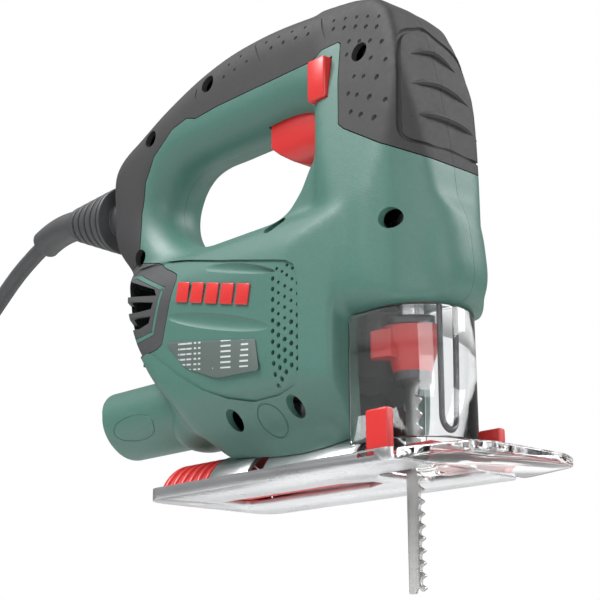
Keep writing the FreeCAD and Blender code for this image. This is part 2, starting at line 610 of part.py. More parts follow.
def plunger():
    rod_top = v.gear_axis_height + 49
    node("plunger_rod", cylinder("plunger_rod_bar", "rod_radius", rod_top - 54, (0, 0, 54)))
    high = v.yoke_height
    frame = [(-18, high - 8, 2), (18, high - 8, 2), (18, high + 8, 2), (-18, high + 8, 2)]
    slot = [(-14.5, high - 4.2, 4), (14.5, high - 4.2, 4), (14.5, high + 4.2, 4), (-14.5, high + 4.2, 4)]
    plate = slab("yoke_plate", "YZ", [frame, slot], "3.6", start=-9.2)
    hub = tube("yoke_hub", "rod_radius + 2.2", f"rod_radius + {v.seat_gap / 2}", "16", (0, 0, high - 8))
    trimmed = cut("yoke_hub_trim", fuse("yoke_joined", plate, hub),
                  cylinder("yoke_rod_way", f"rod_radius + {v.seat_gap / 2}", "40", (0, 0, high - 20)))
    node("scotch_yoke", trimmed)
    bushes = [tube(f"plunger_bush_{tag}", "rod_radius + 3.5", "rod_radius + 0.05", "7.8", (0, 0, level))
              for tag, level in (("low", v.nose_under + v.wall + v.seat_gap),
                                 ("high", v.gear_axis_height + 39))]
    node("plunger_bushes", group("plunger_bush_pair", *bushes))
    sleeve = cylinder("clamp_sleeve", "clamp_radius", "19.9", (0, 0, 34))
    slot_half = v.blade_width / 2 + 0.1
    slot = box("clamp_slot", 2 * slot_half, v.blade_thickness + 0.2, 20,
               (-slot_half, -v.blade_thickness / 2 - 0.1, 33))
    head = cylinder("clamp_head", "clamp_radius + 1.6", "2.6", (0, 0, 51.3))
    node("blade_clamp", cut("blade_clamp_body", fuse("clamp_stock", sleeve, head), slot))
    node("blade", saw_blade())
    collar_profile = [(v.clamp_radius + 0.15, 36), (v.collar_radius - 4, 36), (v.collar_radius - 3, 40),
                      (v.collar_radius - 0.5, 46), (v.collar_radius, 50.9), (v.clamp_radius + 0.15, 50.9)]
    ring = spun("collar_ring", collar_profile)
    lever = slab("collar_lever", "XY", [[(-8, -10.5, 1), (-5, -14.5, 1), (1, -12, 1), (1, -8), (-6, -6)]],
                 "9", start=40.5)
    gap = cylinder("collar_gap", "clamp_radius + 0.15", "30", (0, 0, 30))
    node("clamp_collar", cut("clamp_collar_body", fuse("collar_stock", ring, lever), gap))
    node("wire_guard", wire_guard())


def saw_blade():
    """Wood blade: forked tip, forward-facing teeth on its front edge, shank in the clamp."""
    back, tips = -v.blade_width / 2 - 0.05, v.blade_width / 2
    tip, top = -v.blade_reach, 52.6
    gullet = tips - 2.3
    edge = [(back, top, 1), (back, tip, 0.6), (back + 2.6, tip, 0.6), (back + 4.0, tip + 2.4, 0.6),
            (gullet + 0.6, tip + 0.6)]
    level = tip + 0.6
    while level + v.tooth_pitch < 33:
        edge += [(tips, level + 0.8), (tips - 0.2, level + 1.4), (gullet, level + 2.6, 0.7),
                 (gullet + 0.5, level + v.tooth_pitch)]
        level += v.tooth_pitch
    edge += [(tips - 0.6, level + 1.2), (tips - 0.6, top, 1)]
    return slab("saw_blade", "XZ", [edge], "blade_thickness", middle=True)


def wire_guard():
    """Contact guard: one bent wire, both legs held by the gear head."""
    ahead, half, top, low = 16.5, 4.0, v.nose_under - 0.1, 16.0
    path = Part.Wire([
        Part.LineSegment(Vector(ahead, -half, top), Vector(ahead, -half, low + half)).toShape(),
        Part.Arc(Vector(ahead, -half, low + half), Vector(ahead, 0, low),
                 Vector(ahead, half, low + half)).toShape(),
        Part.LineSegment(Vector(ahead, half, low + half), Vector(ahead, half, top)).toShape()])
    ring = Part.Wire(Part.makeCircle(1.0, Vector(ahead, -half, top), Vector(0, 0, 1)))
    made = doc.addObject("Part::Feature", "wire_guard_bend")
    made.Shape = path.makePipeShell([ring], True, True)
    return made


# ------------------------------------------------------------------ shoe, bevel lock, sight and hood
def shoe():
    half, rear, front = v.shoe_half_width, -v.shoe_rear, v.shoe_front
    outline = [(rear, -half, 9), (front - 3, -half, 4), (front, -half + 4, 2), (front, -14, 2),
               (-7, -14, 5), (-7, 14, 5), (front, 14, 2), (front, half - 4, 2), (front - 3, half, 4),
               (rear, half, 9)]
    rim = v.rim_thickness
    inner = [(rear + rim, -half + rim, 7.4), (front + 5, -half + rim), (front + 5, half - rim),
             (rear + rim, half - rim, 7.4)]
    body = doc.addObject("PartDesign::Body", "shoe_body")
    add_pad(body, "shoe_blank", "XY", [outline], "rim_height")
    add_pocket(body, "shoe_tray", "XY", [inner], "rim_height - shoe_sheet", start=v.rim_height)
    add_pocket(body, "shoe_slot", "XY",
               [[(-97, -7, 2), (-90, -8, 2), (-30, -8, 3), (-18, -3, 2), (-18, 3, 2), (-30, 8, 3),
                 (-90, 8, 2), (-97, 7, 2)]], "20", start=10)
    add_pocket(body, "shoe_rear_gap", "XY",
               [[(rear - 2, -20.5), (rear + rim + 1, -20.5), (rear + rim + 1, 20.5), (rear - 2, 20.5)]],
               "rim_height - shoe_sheet", start=v.rim_height)
    add_pocket(body, "shoe_windows", "XZ", [[(4, 2.4, 0.5), (12, 2.4, 0.5), (12, 3.9, 0.5), (4, 3.9, 0.5)]],
               "100", start=50)
    node("shoe_plate", body)
    r = v.saddle_radius
    start, length = -93.0, 79.0
    arch = common("saddle_arch", tube("saddle_tube", "saddle_radius", "saddle_radius - saddle_sheet", length,
                                      (start, 0, 0), "X"),
                  box("saddle_half", 100, 60, 30, (start - 2, -30, v.shoe_sheet)))
    window = cut("saddle_window", box("saddle_window_block", 9, 60, 30, (-70, -30, 6)),
                 box("saddle_bridge", 9, 14, 30, (-70, -7, 6)))
    slot = box("saddle_slot", 7.4, 20, 12, (-55.7, -10, 12))
    node("saddle", cut("saddle_body", arch, window, slot))
    rivets = [cylinder(f"shoe_rivet_{i}_{s}", "2", "1.2", (x, s * (r + 5), v.shoe_sheet))
              for i, x in enumerate((-80.0, -28.0)) for s in (-1, 1)]
    node("shoe_rivets", group("shoe_rivet_set", *rivets))
    slider(start, r)
    screw = fuse("saddle_screw_stock", cylinder("saddle_screw_head", "5.4", "3", (-52, 0, 9.6)),
                 cylinder("saddle_screw_shank", "2.9", "15", (-52, 0, 12.6)))
    corners = [(-52 + 2.4 * math.cos(a * math.pi / 3), 2.4 * math.sin(a * math.pi / 3)) for a in range(6)]
    key = slab("saddle_screw_key", "XY", [corners], "2.4", start=9)
    node("saddle_screw", cut("saddle_screw_body", screw, key))
    shoe_inner = r - v.saddle_sheet - v.running_gap
    block = common("lock_block_stock", cylinder("lock_block_round", shoe_inner, "16", (-60, 0, 0), "X"),
                   box("lock_block_box", 16, 18, 10, (-60, -9, 12.8)))
    node("lock_block", cut("lock_block_body", block, cylinder("lock_block_bore", "3", "40", (-52, 0, 0))))
    foot = common("foot_block_stock", casing_solid("foot_seat", v.wall + v.seat_gap),
                  box("foot_block_box", 20, 30, 12, (-62, -15, 18)))
    node("foot_block", cut("foot_block_body", foot,
                           cylinder("foot_block_groove", "saddle_radius + running_gap + wall + 0.1", "80",
                                    (-90, 0, 0), "X"),
                           cylinder("foot_block_bore", "2.95", "40", (-52, 0, 0))))


def slider(start, r):
    """Bevel lock slide: a ribbed grip behind the saddle and a flat tongue inside it."""
    rear = start - 34.5
    sheet_top = v.shoe_sheet + v.running_gap
    ridge, valley = r - 0.3, r - 1.6
    profile = [(rear, 0.1), (rear, r - 6), (rear + 1, r - 3), (rear + 4, valley)]
    count = 6
    pitch = (start - 0.4 - rear - 4) / count
    for i in range(count):
        a = rear + 4 + i * pitch
        profile += [(a + 0.4, valley), (a + 1.2, ridge), (a + pitch - 1.6, ridge), (a + pitch - 0.8, valley)]
    profile += [(start - 0.4, valley), (start - 0.4, 0.1)]
    grip = spun("slider_grip", profile, plane="XZ", axis="X")
    deck = box("slider_above", 60, 60, 30, (rear - 1, -30, sheet_top))
    tongue = box("slider_tongue", 74, 13, 3.6, (start - 2, -6.5, sheet_top))
    node("bevel_slide", fuse("bevel_slide_body", common("slider_half", grip, deck), tongue))


def sight_and_hood():
    half, front = v.shoe_half_width, v.shoe_front
    gap = v.running_gap
    clear = [(front + gap + 0.1, -half, 1), (front + 5, -half, 2), (48, -26.5, 3), (51.5, -18, 4),
             (51.5, 18, 4), (48, 26.5, 3), (front + 5, half, 2), (front + gap + 0.1, half, 1),
             (front + gap + 0.1, 9.3, 1), (6.5, 9.3, 3), (6.5, 2.4), (12, 2.4, 1), (12, -2.4, 1), (6.5, -2.4),
             (6.5, -9.3, 3), (front + gap + 0.1, -9.3, 1)]
    node("sight_plate", slab("sight_plate_body", "XY", [clear], "sight_thickness", start=0.2))
    level = v.shoe_sheet + gap
    clip = slab("clip_strap", "YZ", [mirrored([
        (8.5, HOOD_LOW - gap, 2), (12.4, HOOD_LOW - 1.6, 2), (13.4, level + 1.9, 1), (27.3, level + 1.9),
        (27.3, 18.6, 1), (30.9, 18.6, 1), (30.9, level, 1), (10, level), (9.6, 6.4, 1), (7.6, 7.5, 2)])],
        "9.6", start=6.2)
    node("sight_clip", clip)
    r, sheet_thick = v.hood_radius, v.hood_sheet
    low, high = HOOD_LOW, v.nose_under - gap
    ahead = v.nose_front - 25
    back = -16.0
    hood = doc.addObject("PartDesign::Body", "hood_body")
    sketch = hood.newObject("Sketcher::SketchObject", "hood_plan")
    ground = [p for p in hood.Origin.OriginFeatures if p.Role == "XY_Plane"][0]
    sketch.AttachmentSupport = (ground, [""])
    sketch.MapMode = "FlatFace"
    sketch.AttachmentOffset = FreeCAD.Placement(Vector(0, 0, low), Rotation())
    for radius in (r, r - sheet_thick):
        sketch.addGeometry(Part.Arc(Vector(ahead, -radius, 0), Vector(ahead + radius, 0, 0),
                                    Vector(ahead, radius, 0)))
        for side in (-1, 1):
            sketch.addGeometry(Part.LineSegment(Vector(back, side * radius, 0),
                                                Vector(ahead, side * radius, 0)))
    for side in (-1, 1):
        sketch.addGeometry(Part.LineSegment(Vector(back, side * r, 0),
                                            Vector(back, side * (r - sheet_thick), 0)))
    pad = hood.newObject("PartDesign::Pad", "hood_pad")
    pad.Profile = sketch
    bind(pad, Length=f"nose_under - running_gap - {low}")
    edge = FRONT_FACE + gap
    add_pocket(hood, "hood_edge", "XZ",
               [[(back - 2, low - 1), (edge, low - 1), (edge, high + 1), (back - 2, high + 1)]],
               "100", start=50)
    node("clear_hood", hood)


# ------------------------------------------------------------------ handle controls
def controls():
    roof = v.hole_roof
    top = roof + 6
    outline = [(-66.4, top), (-66.4, roof - 7, 1.5), (-61, roof - 9.5, 3), (-45, roof - 14, 8),
               (-37, roof - 19, 1.5), (-37, top)]
    node("trigger", slab("trigger_body", "XZ", [outline], "2 * trigger_half_width", middle=True))
    seat = top + v.trigger_travel + 2
    node("switch", fuse("switch_stock", box("switch_case", 34, 19, 16, (-70, -9.5, seat)),
                        box("switch_terminals", 6, 12, 6, (-76, -6, seat + 4))))
    coil(node_name="trigger_spring", radius=3.0, wire=0.45, low=top + 0.1, high=seat - 0.1, turns=5,
         at=(-52, 0))
    level = roof - 3.2
    button = fuse("button_stock", box("button_cap", 9.6, 8, 17, (-29.8, -26, level)),
                  box("button_stem", 5, 8, 7, (-27.5, -18.5, level + 5)))
    node("lock_button", button)
    back = 16.2 - v.casing_rear
    clamp = fuse("cord_clamp_stock", box("cord_clamp_bar", 9, 18, 3.4, (back, -9, roof - 9)),
                 box("cord_clamp_foot", 9, 18, 3, (back, -9, roof - 13.2)))
    node("cord_clamp", clamp)
    inner = casing_solid("capacitor_seat", v.wall + v.seat_gap)
    node("capacitor", common("capacitor_block", inner, box("capacitor_box", 16, 14, 12,
                                                            (-120, -7, v.crown - 18))))


def coil(node_name, radius, wire, low, high, turns, at):
    """A compression spring standing along Z."""
    pitch = (high - low - 2 * wire) / turns
    helix = Part.makeHelix(pitch, high - low - 2 * wire, radius)
    ring = Part.Wire(Part.makeCircle(wire, Vector(radius, 0, 0), Vector(0, 1, 0)))
    made = doc.addObject("Part::Feature", node_name + "_helix")
    made.Shape = Part.Wire(helix).makePipeShell([ring], True, True)
    made.Placement = FreeCAD.Placement(Vector(at[0], at[1], low + wire), Rotation())
    node(node_name, made)


# ------------------------------------------------------------------ plates on the flank
def plates():
    half = v.barrel_half_width
    label = [(-102.5, 62, 1), (-48, 53, 1), (-46, 41, 1), (-70, 42, 20), (-89, 49, 20)]
    node("rating_plate", slab("rating_plate_body", "XZ", [label], "0.5", start=half + 0.05))
    bars = []
    for i in range(5):
        x, z = -94 + 9 * i, 85 - 2.1 * i
        bars.append([(x, z), (x + 7, z - 1.6), (x + 5.4, z - 9.6), (x - 1.6, z - 8)])
    node("badge", group("badge_bars", *[slab(f"badge_bar_{i}", "XZ", [bar], "0.9", start=half + 0.05)
                                        for i, bar in enumerate(bars)]))


# ------------------------------------------------------------------ mains lead
def tangent_tube(points, radius, name):
    """A tube of straight runs and tangent arcs; prints each arc's radius."""
    marks = [Vector(*p) for p in points]
    edges, here, length = [], marks[0], 0.0
    for before, corner, after in zip(marks, marks[1:], marks[2:]):
        a, b = before - corner, after - corner
        turn = math.pi - a.getAngle(b)
        reach = 0.45 * min(a.Length, b.Length)
        bend = reach / math.tan(turn / 2)
        print(f"{name}: bend radius {bend:.1f} mm, turn {math.degrees(turn):.1f} degrees")
        a.normalize()
        b.normalize()
        middle = corner + (a + b).normalize() * (bend / math.cos(turn / 2) - bend)
        start, end = corner + a * reach, corner + b * reach
        edges.append(Part.LineSegment(here, start).toShape())
        edges.append(Part.Arc(start, middle, end).toShape())
        here = end
    edges.append(Part.LineSegment(here, marks[-1]).toShape())
    path = Part.Wire(edges)
    ring = Part.Wire(Part.makeCircle(radius, marks[0], marks[1] - marks[0]))
    made = doc.addObject("Part::Feature", name + "_tube")
    made.Shape = path.makePipeShell([ring], True, False)
    expected = math.pi * radius ** 2 * path.Length
    share = made.Shape.Volume / expected
    print(f"{name}: length {path.Length:.0f} mm, volume {share:.4f} of section x length")
    return made


BOOT_SLEEVE, BOOT_TURNED = 7.2, 54.2     # sleeve radius, and where the turned cone ends
CORD_ROUTE = [
    (-v.casing_rear - behind, y, z) for behind, y, z in (
        (71.9, 0, 143.8), (91, 0, 137), (110, -2, 121.5), (127, -9, 98), (138, -17, 66), (144, -23, 29),
        (144, -26, -9), (137, -27, -44), (121, -27.5, -71), (94, -28, -85), (65.5, -28, -86))
]
COIL_CENTRE = (-v.casing_rear - 41.5, 29)


def lead():
    """Strain relief, the free lead, its put-away coil with a tie, and the plug."""
    neck, base = 16.4, 15.9
    profile = [(0, 0), (0, 11.6), (3.6, 11.6), (3.6, 9.3), (neck, 9.3), (neck, base - 0.3),
               (neck + 1.6, base)]
    for i in range(5):
        a = neck + 1.8 + 7 * i
        radius = 15.4 - 1.45 * i
        profile += [(a, radius - 1.8), (a + 1.6, radius - 2.0), (a + 2, radius - 0.2),
                    (a + 6.4, radius - 1.0)]
    profile += [(BOOT_TURNED, BOOT_SLEEVE), (BOOT_TURNED, 0)]
    boot = spun("boot_turned", profile, plane="XZ", axis="X")
    boot.Placement = FreeCAD.Placement(BOOT_ROOT, BOOT_TILT)
    node("strain_relief", fuse("strain_relief_body", boot, boot_sleeve()))
    node("cord_run", tangent_tube(CORD_ROUTE, v.cord_diameter / 2, "cord_run"))
    x, y = COIL_CENTRE
    low = v.bench_level + 1.5
    node("cord_coil", tube("cord_coil_ring", "coil_outer", "coil_inner", "coil_height", (x, y, low)))
    width = v.coil_outer - v.coil_inner
    outer = box("tie_outer", width + 3, 10, v.coil_height + 3, (x + v.coil_inner - 1.5, y - 5, low - 1.5))
    inner = box("tie_inner", width + 1, 12, v.coil_height + 0.6,
                (x + v.coil_inner - 0.9, y - 6, low - 0.3))
    node("cord_tie", cut("cord_tie_band", outer, inner, tie_clearance(x, y, low)))
    height = v.bench_level + 15
    back = x - 39
    grip_profile = [(0, 0), (0, 6), (10, 8), (22, 12), (30, 15), (46, 15), (48, 14), (48, 0)]
    plug = spun("plug_turned", grip_profile, plane="XZ", axis="X")
    plug.Placement = FreeCAD.Placement(Vector(back, y + 52, height), Rotation(Vector(0, 0, 1), 180))
    node("mains_plug", plug)
    pins = [cylinder(f"plug_pin_{tag}", "2.4", "19", (back - 48.05, y + 52 + side * 9.5, height), "-X")
            for tag, side in (("left", 1), ("right", -1))]
    node("plug_pins", group("plug_pin_pair", *pins))


def boot_sleeve():
    """The plain end of the boot, bent down by the weight of the lead."""
    start = BOOT_ROOT + BOOT_TILT.multVec(Vector(BOOT_TURNED, 0, 0))
    ahead = BOOT_TILT.multVec(Vector(1, 0, 0))
    end, away = Vector(*CORD_ROUTE[0]), (Vector(*CORD_ROUTE[1]) - Vector(*CORD_ROUTE[0])).normalize()
    middle = (start + end) / 2 + (ahead - away) * (0.125 * (end - start).Length)
    bend = Part.Wire([Part.Arc(start, middle, end).toShape()])
    made = doc.addObject("Part::Feature", "boot_sleeve")
    made.Shape = bend.makePipeShell([Part.Wire(Part.makeCircle(BOOT_SLEEVE, start, ahead))], True, True)
    return made


def tie_clearance(x, y, low):
    """Room for the coil's round flanks inside the tie."""
    return tube("tie_room", "coil_outer + 0.2", "coil_inner - 0.2", "coil_height", (x, y, low))


# ------------------------------------------------------------------ build, check and write
casing()
motor()
gears()
plunger()
shoe()
sight_and_hood()
controls()
plates()
lead()
doc.recompute()

faults = [o.Name for o in doc.Objects if "Invalid" in o.State or "Error" in o.State]
faults += [o.Label for o in NODES if o.Shape.isNull() or not o.Shape.isValid() or not o.Shape.Solids]
if faults:
    raise SystemExit(f"failed objects: {faults}")
os.makedirs("parts", exist_ok=True)
for thing in NODES:
    thing.Shape.exportStep(f"parts/{thing.Label}.step")
    print(f"{thing.Label}: {len(thing.Shape.Solids)} solids, {thing.Shape.Volume:.0f} mm3")
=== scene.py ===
"""The looks of a corded jigsaw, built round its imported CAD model."""
import json
import math

import bpy
from mathutils import Matrix, Vector


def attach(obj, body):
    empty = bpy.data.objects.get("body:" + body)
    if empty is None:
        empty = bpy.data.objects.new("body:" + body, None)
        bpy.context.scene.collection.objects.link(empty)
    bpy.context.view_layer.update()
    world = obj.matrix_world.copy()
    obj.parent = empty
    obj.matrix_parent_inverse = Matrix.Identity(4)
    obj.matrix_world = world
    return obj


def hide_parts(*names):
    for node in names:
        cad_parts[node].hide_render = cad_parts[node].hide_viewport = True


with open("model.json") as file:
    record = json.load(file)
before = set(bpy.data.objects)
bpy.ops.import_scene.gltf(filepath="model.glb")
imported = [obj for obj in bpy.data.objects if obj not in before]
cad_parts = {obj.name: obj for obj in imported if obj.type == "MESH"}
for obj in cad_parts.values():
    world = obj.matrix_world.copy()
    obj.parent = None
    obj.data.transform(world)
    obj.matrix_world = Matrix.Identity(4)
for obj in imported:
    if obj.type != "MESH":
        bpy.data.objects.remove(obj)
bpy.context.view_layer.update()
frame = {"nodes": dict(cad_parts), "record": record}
bpy.ops.object.select_all(action="DESELECT")
mm = 0.001


# ---------------------------------------------------------------- camera, lights and floor
# The saw is looked at from in front and below its right flank, a little above the bench.
# Three large soft lamps and a pale surround light it as a product studio does.
camera_right = Vector((0.6826, 0.7308, 0))
camera_up = Vector((0.1996, -0.1864, 0.9620))
camera_ahead = Vector((-0.7030, 0.6567, 0.2731))
roll = math.radians(-0.28)
across = math.cos(roll) * camera_right + math.sin(roll) * camera_up
upward = math.cos(roll) * camera_up - math.sin(roll) * camera_right
bpy.ops.object.camera_add()
camera = bpy.context.object
camera_place = (0.3289, -0.3618, -0.0742)
camera.matrix_world = (Matrix.Translation(camera_place)
                       @ Matrix((across, upward, -camera_ahead)).transposed().to_4x4())
camera.data.lens = 84.31
camera.data.clip_start = 0.01
bpy.context.scene.camera = camera

middle_of_saw = Vector((-0.06, 0, 0.09))
for place, size, power in (((-0.34, -0.6, 0.98), 0.6, 20), ((0.85, -0.5, 0.35), 0.5, 4),
                           ((0.5, 0.6, 0.7), 0.6, 8)):
    bpy.ops.object.light_add(type="AREA", location=place)
    lamp = bpy.context.object
    lamp.data.size, lamp.data.energy = size, power
    lamp.rotation_euler = (middle_of_saw - Vector(place)).to_track_quat("-Z", "Y").to_euler()

surround = bpy.data.worlds.new("studio")
bpy.context.scene.world = surround
surround.use_nodes = True
bpy.context.scene.view_settings.view_transform = "Standard"
room = surround.node_tree
white_paper = room.nodes["Background"]
white_paper.inputs["Color"].default_value = (1, 1, 1, 1)
dim_room = room.nodes.new("ShaderNodeBackground")
heading = room.nodes.new("ShaderNodeTexCoord")
height = room.nodes.new("ShaderNodeSeparateXYZ")
ceiling = room.nodes.new("ShaderNodeMapRange")
ceiling.inputs["From Min"].default_value, ceiling.inputs["From Max"].default_value = -0.5, 0.9
ceiling.inputs["To Min"].default_value, ceiling.inputs["To Max"].default_value = 0.12, 0.55
kind_of_ray = room.nodes.new("ShaderNodeLightPath")
open_view = room.nodes.new("ShaderNodeMath")
open_view.operation = "MAXIMUM"
both = room.nodes.new("ShaderNodeMixShader")
for source, socket in ((heading.outputs["Generated"], height.inputs[0]),
                       (height.outputs["Z"], ceiling.inputs["Value"]),
                       (ceiling.outputs[0], dim_room.inputs["Strength"]),
                       (kind_of_ray.outputs["Is Camera Ray"], open_view.inputs[0]),
                       (kind_of_ray.outputs["Is Transmission Ray"], open_view.inputs[1]),
                       (open_view.outputs[0], both.inputs[0]),
                       (dim_room.outputs[0], both.inputs[1]),
                       (white_paper.outputs[0], both.inputs[2]),
                       (both.outputs[0], room.nodes["World Output"].inputs["Surface"])):
    room.links.new(source, socket)


class Signal:
    """One output of a material's node, which takes part in sums written in Python."""

    def __init__(self, finish, socket):
        self.finish, self.socket = finish, socket

    def sum_with(self, operation, first, second=0.0):
        return self.finish.add("ShaderNodeMath", {"operation": operation}, {0: first, 1: second})

    def __add__(self, other):
        return self.sum_with("ADD", self, other)

    def __mul__(self, other):
        return self.sum_with("MULTIPLY", self, other)

    def __sub__(self, other):
        return self.sum_with("SUBTRACT", self, other)

    def __gt__(self, other):
        return self.sum_with("GREATER_THAN", self, other)

    def __lt__(self, other):
        return self.sum_with("LESS_THAN", self, other)

    def __abs__(self):
        return self.sum_with("ABSOLUTE", self)

    def wrapped(self, step):
        return self.sum_with("PINGPONG", self, step)


class Finish:
    """A procedural material under one Principled shader."""

    def __init__(self, name, colour, roughness, **constants):
        self.material = bpy.data.materials.new(name)
        self.material.use_nodes = True
        self.tree = self.material.node_tree
        self.shader = self.tree.nodes["Principled BSDF"]
        self.colour = (*colour, 1)
        self.shader.inputs["Base Color"].default_value = self.colour
        self.shader.inputs["Roughness"].default_value = roughness
        self.roughness = roughness
        for socket, amount in constants.items():
            self.shader.inputs[socket.replace("_", " ")].default_value = amount
        self.place = self.add("ShaderNodeTexCoord", {}, {}, "Object")

    def add(self, kind, settings, sockets, output=0):
        made = self.tree.nodes.new(kind)
        for setting, choice in settings.items():
            setattr(made, setting, choice)
        for socket, given in sockets.items():
            if isinstance(given, Signal):
                self.tree.links.new(given.socket, made.inputs[socket])
            else:
                made.inputs[socket].default_value = given
        return Signal(self, made.outputs[output])

    def feed(self, socket, signal):
        self.tree.links.new(signal.socket, self.shader.inputs[socket])

    def noise(self, scale, detail=3.0, stretch=(1, 1, 1)):
        spot = self.add("ShaderNodeMapping", {}, {"Vector": self.place, "Scale": stretch})
        return self.add("ShaderNodeTexNoise", {}, {"Vector": spot, "Scale": scale, "Detail": detail})

    def axes(self):
        split = self.add("ShaderNodeSeparateXYZ", {}, {"Vector": self.place})
        return [Signal(self, output) for output in split.socket.node.outputs]

    def mix(self, share, first, second):
        return self.add("ShaderNodeMix", {"data_type": "RGBA"},
                        {"Factor": share, "A": first, "B": second}, output="Result")

    def vary(self, share, other):
        """Drifts the colour towards another one by a share that changes over the surface."""
        self.feed("Base Color", self.mix(share, self.colour, (*other, 1)))

    def shine(self, signal, spread):
        """Roughness round its set value, by a signal between 0 and 1."""
        self.feed("Roughness", signal * spread + (self.roughness - spread / 2))

    def relief(self, signal, depth):
        bump = self.add("ShaderNodeBump", {}, {"Height": signal, "Distance": depth, "Strength": 1.0})
        self.feed("Normal", bump)


bench = Finish("bench_paper", (0.86, 0.86, 0.85), 0.8)
bench.relief(bench.noise(90), 0.0003)
bench.vary(bench.noise(3), (0.82, 0.82, 0.82))
bench_level = -90 * mm
bpy.ops.mesh.primitive_plane_add(size=8, location=(0, 0, bench_level))
floor = bpy.context.object
floor.name = "bench_top"
floor.data.materials.append(bench.material)


# ---------------------------------------------------------------- mains lead
# A round rubber flex, 8 mm thick and 2.5 m long, that hangs from the boot on the handle.
# The rest of it is wound into a tied coil on the bench, and ends in a two-pin plug.
lead_thickness = 8 * mm
hanging = [
    (-243.9, 0, 143.8), (-263, 0, 137), (-282, -2, 121.5), (-299, -9, 98), (-310, -17, 66),
    (-316, -23, 29), (-316, -26, -9), (-309, -27, -44), (-293, -27.5, -71), (-266, -28, -85),
    (-237.5, -28, -86),
]
coil_x, coil_y, bottom_layer, layer = -213.5, 29, -84.4, 8.1
first_angle, turns = -95, 7 + 185 / 360
lead_line = [Vector(point) * mm for point in hanging]
steps = 16
wide, narrow, spacing = 56, 32, 8
for step in range(int(turns * steps) + 1):
    turn = step / steps
    angle = math.radians(first_angle + 360 * turn)
    if turn < 3:
        radius, level = wide - spacing * turn, 0
    elif turn < 6:
        radius, level = narrow + spacing * (turn - 3), min(1, (turn - 3) * 4)
    elif turn < 6.3:
        radius, level = wide - 14 * (turn - 6) / 0.3, 1 + min(1, (turn - 6) * 5)
    else:
        radius, level = 42 + 10 * (turn - 6.3) / 1.23, 2
    lead_line.append(Vector((coil_x + radius * math.cos(angle), coil_y + radius * math.sin(angle),
                             bottom_layer + layer * level)) * mm)
lead_line += [Vector(point) * mm for point in ((-226, 81.5, -69.5), (-240, 81, -73.5), (-256, 81, -75))]

bpy.ops.curve.primitive_nurbs_path_add()
lead = bpy.context.object
lead.name = "mains_lead"
lead.data.splines.clear()
spline = lead.data.splines.new("NURBS")
spline.points.add(len(lead_line) - 1)
for point, spot in zip(spline.points, lead_line):
    point.co = (*spot, 1)
spline.order_u = 3
spline.use_endpoint_u = True
spline.resolution_u = 4
lead.data.dimensions = "3D"
lead.data.bevel_depth = lead_thickness / 2
lead.data.bevel_resolution = 3
lead.data.use_fill_caps = True

rubber = Finish("lead_rubber", (0.028, 0.029, 0.031), 0.5)
rubber.vary(rubber.noise(45), (0.05, 0.051, 0.054))
rubber.shine(rubber.noise(120), 0.2)
rubber.relief(rubber.noise(900), 0.00006)
lead.data.materials.append(rubber.material)
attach(lead, "tool")
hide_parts("cord_run", "cord_coil")


def dressed(finish, *names):
    """Gives CAD parts a finish as they are."""
    for name in names:
        part = frame["nodes"][name]
        part.data.materials.clear()
        part.data.materials.append(finish.material)


def body_holding(name):
    """The moving group that a CAD part belongs to."""
    groups = frame["record"]["behaviour"]["bodies"]
    return next(group for group, members in groups.items() if name in members)


def softened(name, finish, edge=0.5 * mm):
    """A copy of a CAD part with its sharp edges rounded, which stands for the part."""
    mesh = frame["nodes"][name].data.copy()
    piece = bpy.data.objects.new(name + "_finished", mesh)
    bpy.context.scene.collection.objects.link(piece)
    bpy.ops.object.select_all(action="DESELECT")
    bpy.context.view_layer.objects.active = piece
    piece.select_set(True)
    bpy.ops.object.mode_set(mode="EDIT")
    bpy.ops.mesh.select_all(action="SELECT")
    bpy.ops.mesh.remove_doubles(threshold=0.00001)
    bpy.ops.mesh.dissolve_limited(angle_limit=math.radians(0.5))
    bpy.ops.object.mode_set(mode="OBJECT")
    if edge:
        rounding = piece.modifiers.new("edges", "BEVEL")
        rounding.width, rounding.segments = edge, 2
        rounding.limit_method, rounding.angle_limit = "ANGLE", math.radians(30)
        bpy.ops.object.modifier_apply(modifier="edges")
    bpy.ops.object.shade_smooth_by_angle(angle=math.radians(35))
    mesh.materials.clear()
    mesh.materials.append(finish.material)
    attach(piece, body_holding(name))
    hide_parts(name)
    return piece


plug_body = softened("mains_plug", rubber, 1.2 * mm)
brass = Finish("plug_brass", (0.72, 0.60, 0.36), 0.28, Metallic=1.0)
brass.shine(brass.noise(200), 0.15)
dressed(brass, "plug_pins")
tie_strap = softened("cord_tie", rubber, 0.6 * mm)


# ---------------------------------------------------------------- casing
# Two glass-filled nylon halves with a soft grip moulded over the handle and the nose, and a
# grey vent band at the rear. One body is shaped, hollowed and then parted into its pieces.
side_view = [
    (-12, 15), (-12, 57), (20, 57), (28, 60.5), (30, 66), (29.6, 78), (28, 88), (23.6, 97.5), (22.8, 107),
    (20, 126), (16.6, 143), (12.5, 160.5), (7.6, 172.5), (0, 180), (-14, 185.4), (-30, 188.8), (-48, 191.2),
    (-72, 192.2), (-97, 190), (-128, 181.2), (-150, 171.6), (-165, 164.2), (-171, 156.5), (-172, 149),
    (-170.6, 135), (-168.6, 119.5), (-159, 107.5), (-151, 98.5), (-146, 79.5), (-138, 64), (-127, 50),
    (-124, 26), (-93, 24), (-85, 15),
]
finger_hole = [
    (-37, 112), (-40, 107), (-46, 105.3), (-60, 106), (-90, 108.6), (-112, 110.4), (-123, 114.5),
    (-130, 122), (-132.6, 130), (-131, 137), (-126.5, 143), (-118, 146.6), (-100, 147.2), (-70, 147.2),
    (-48, 147), (-40, 144.5), (-36.6, 138), (-35.6, 126),
]
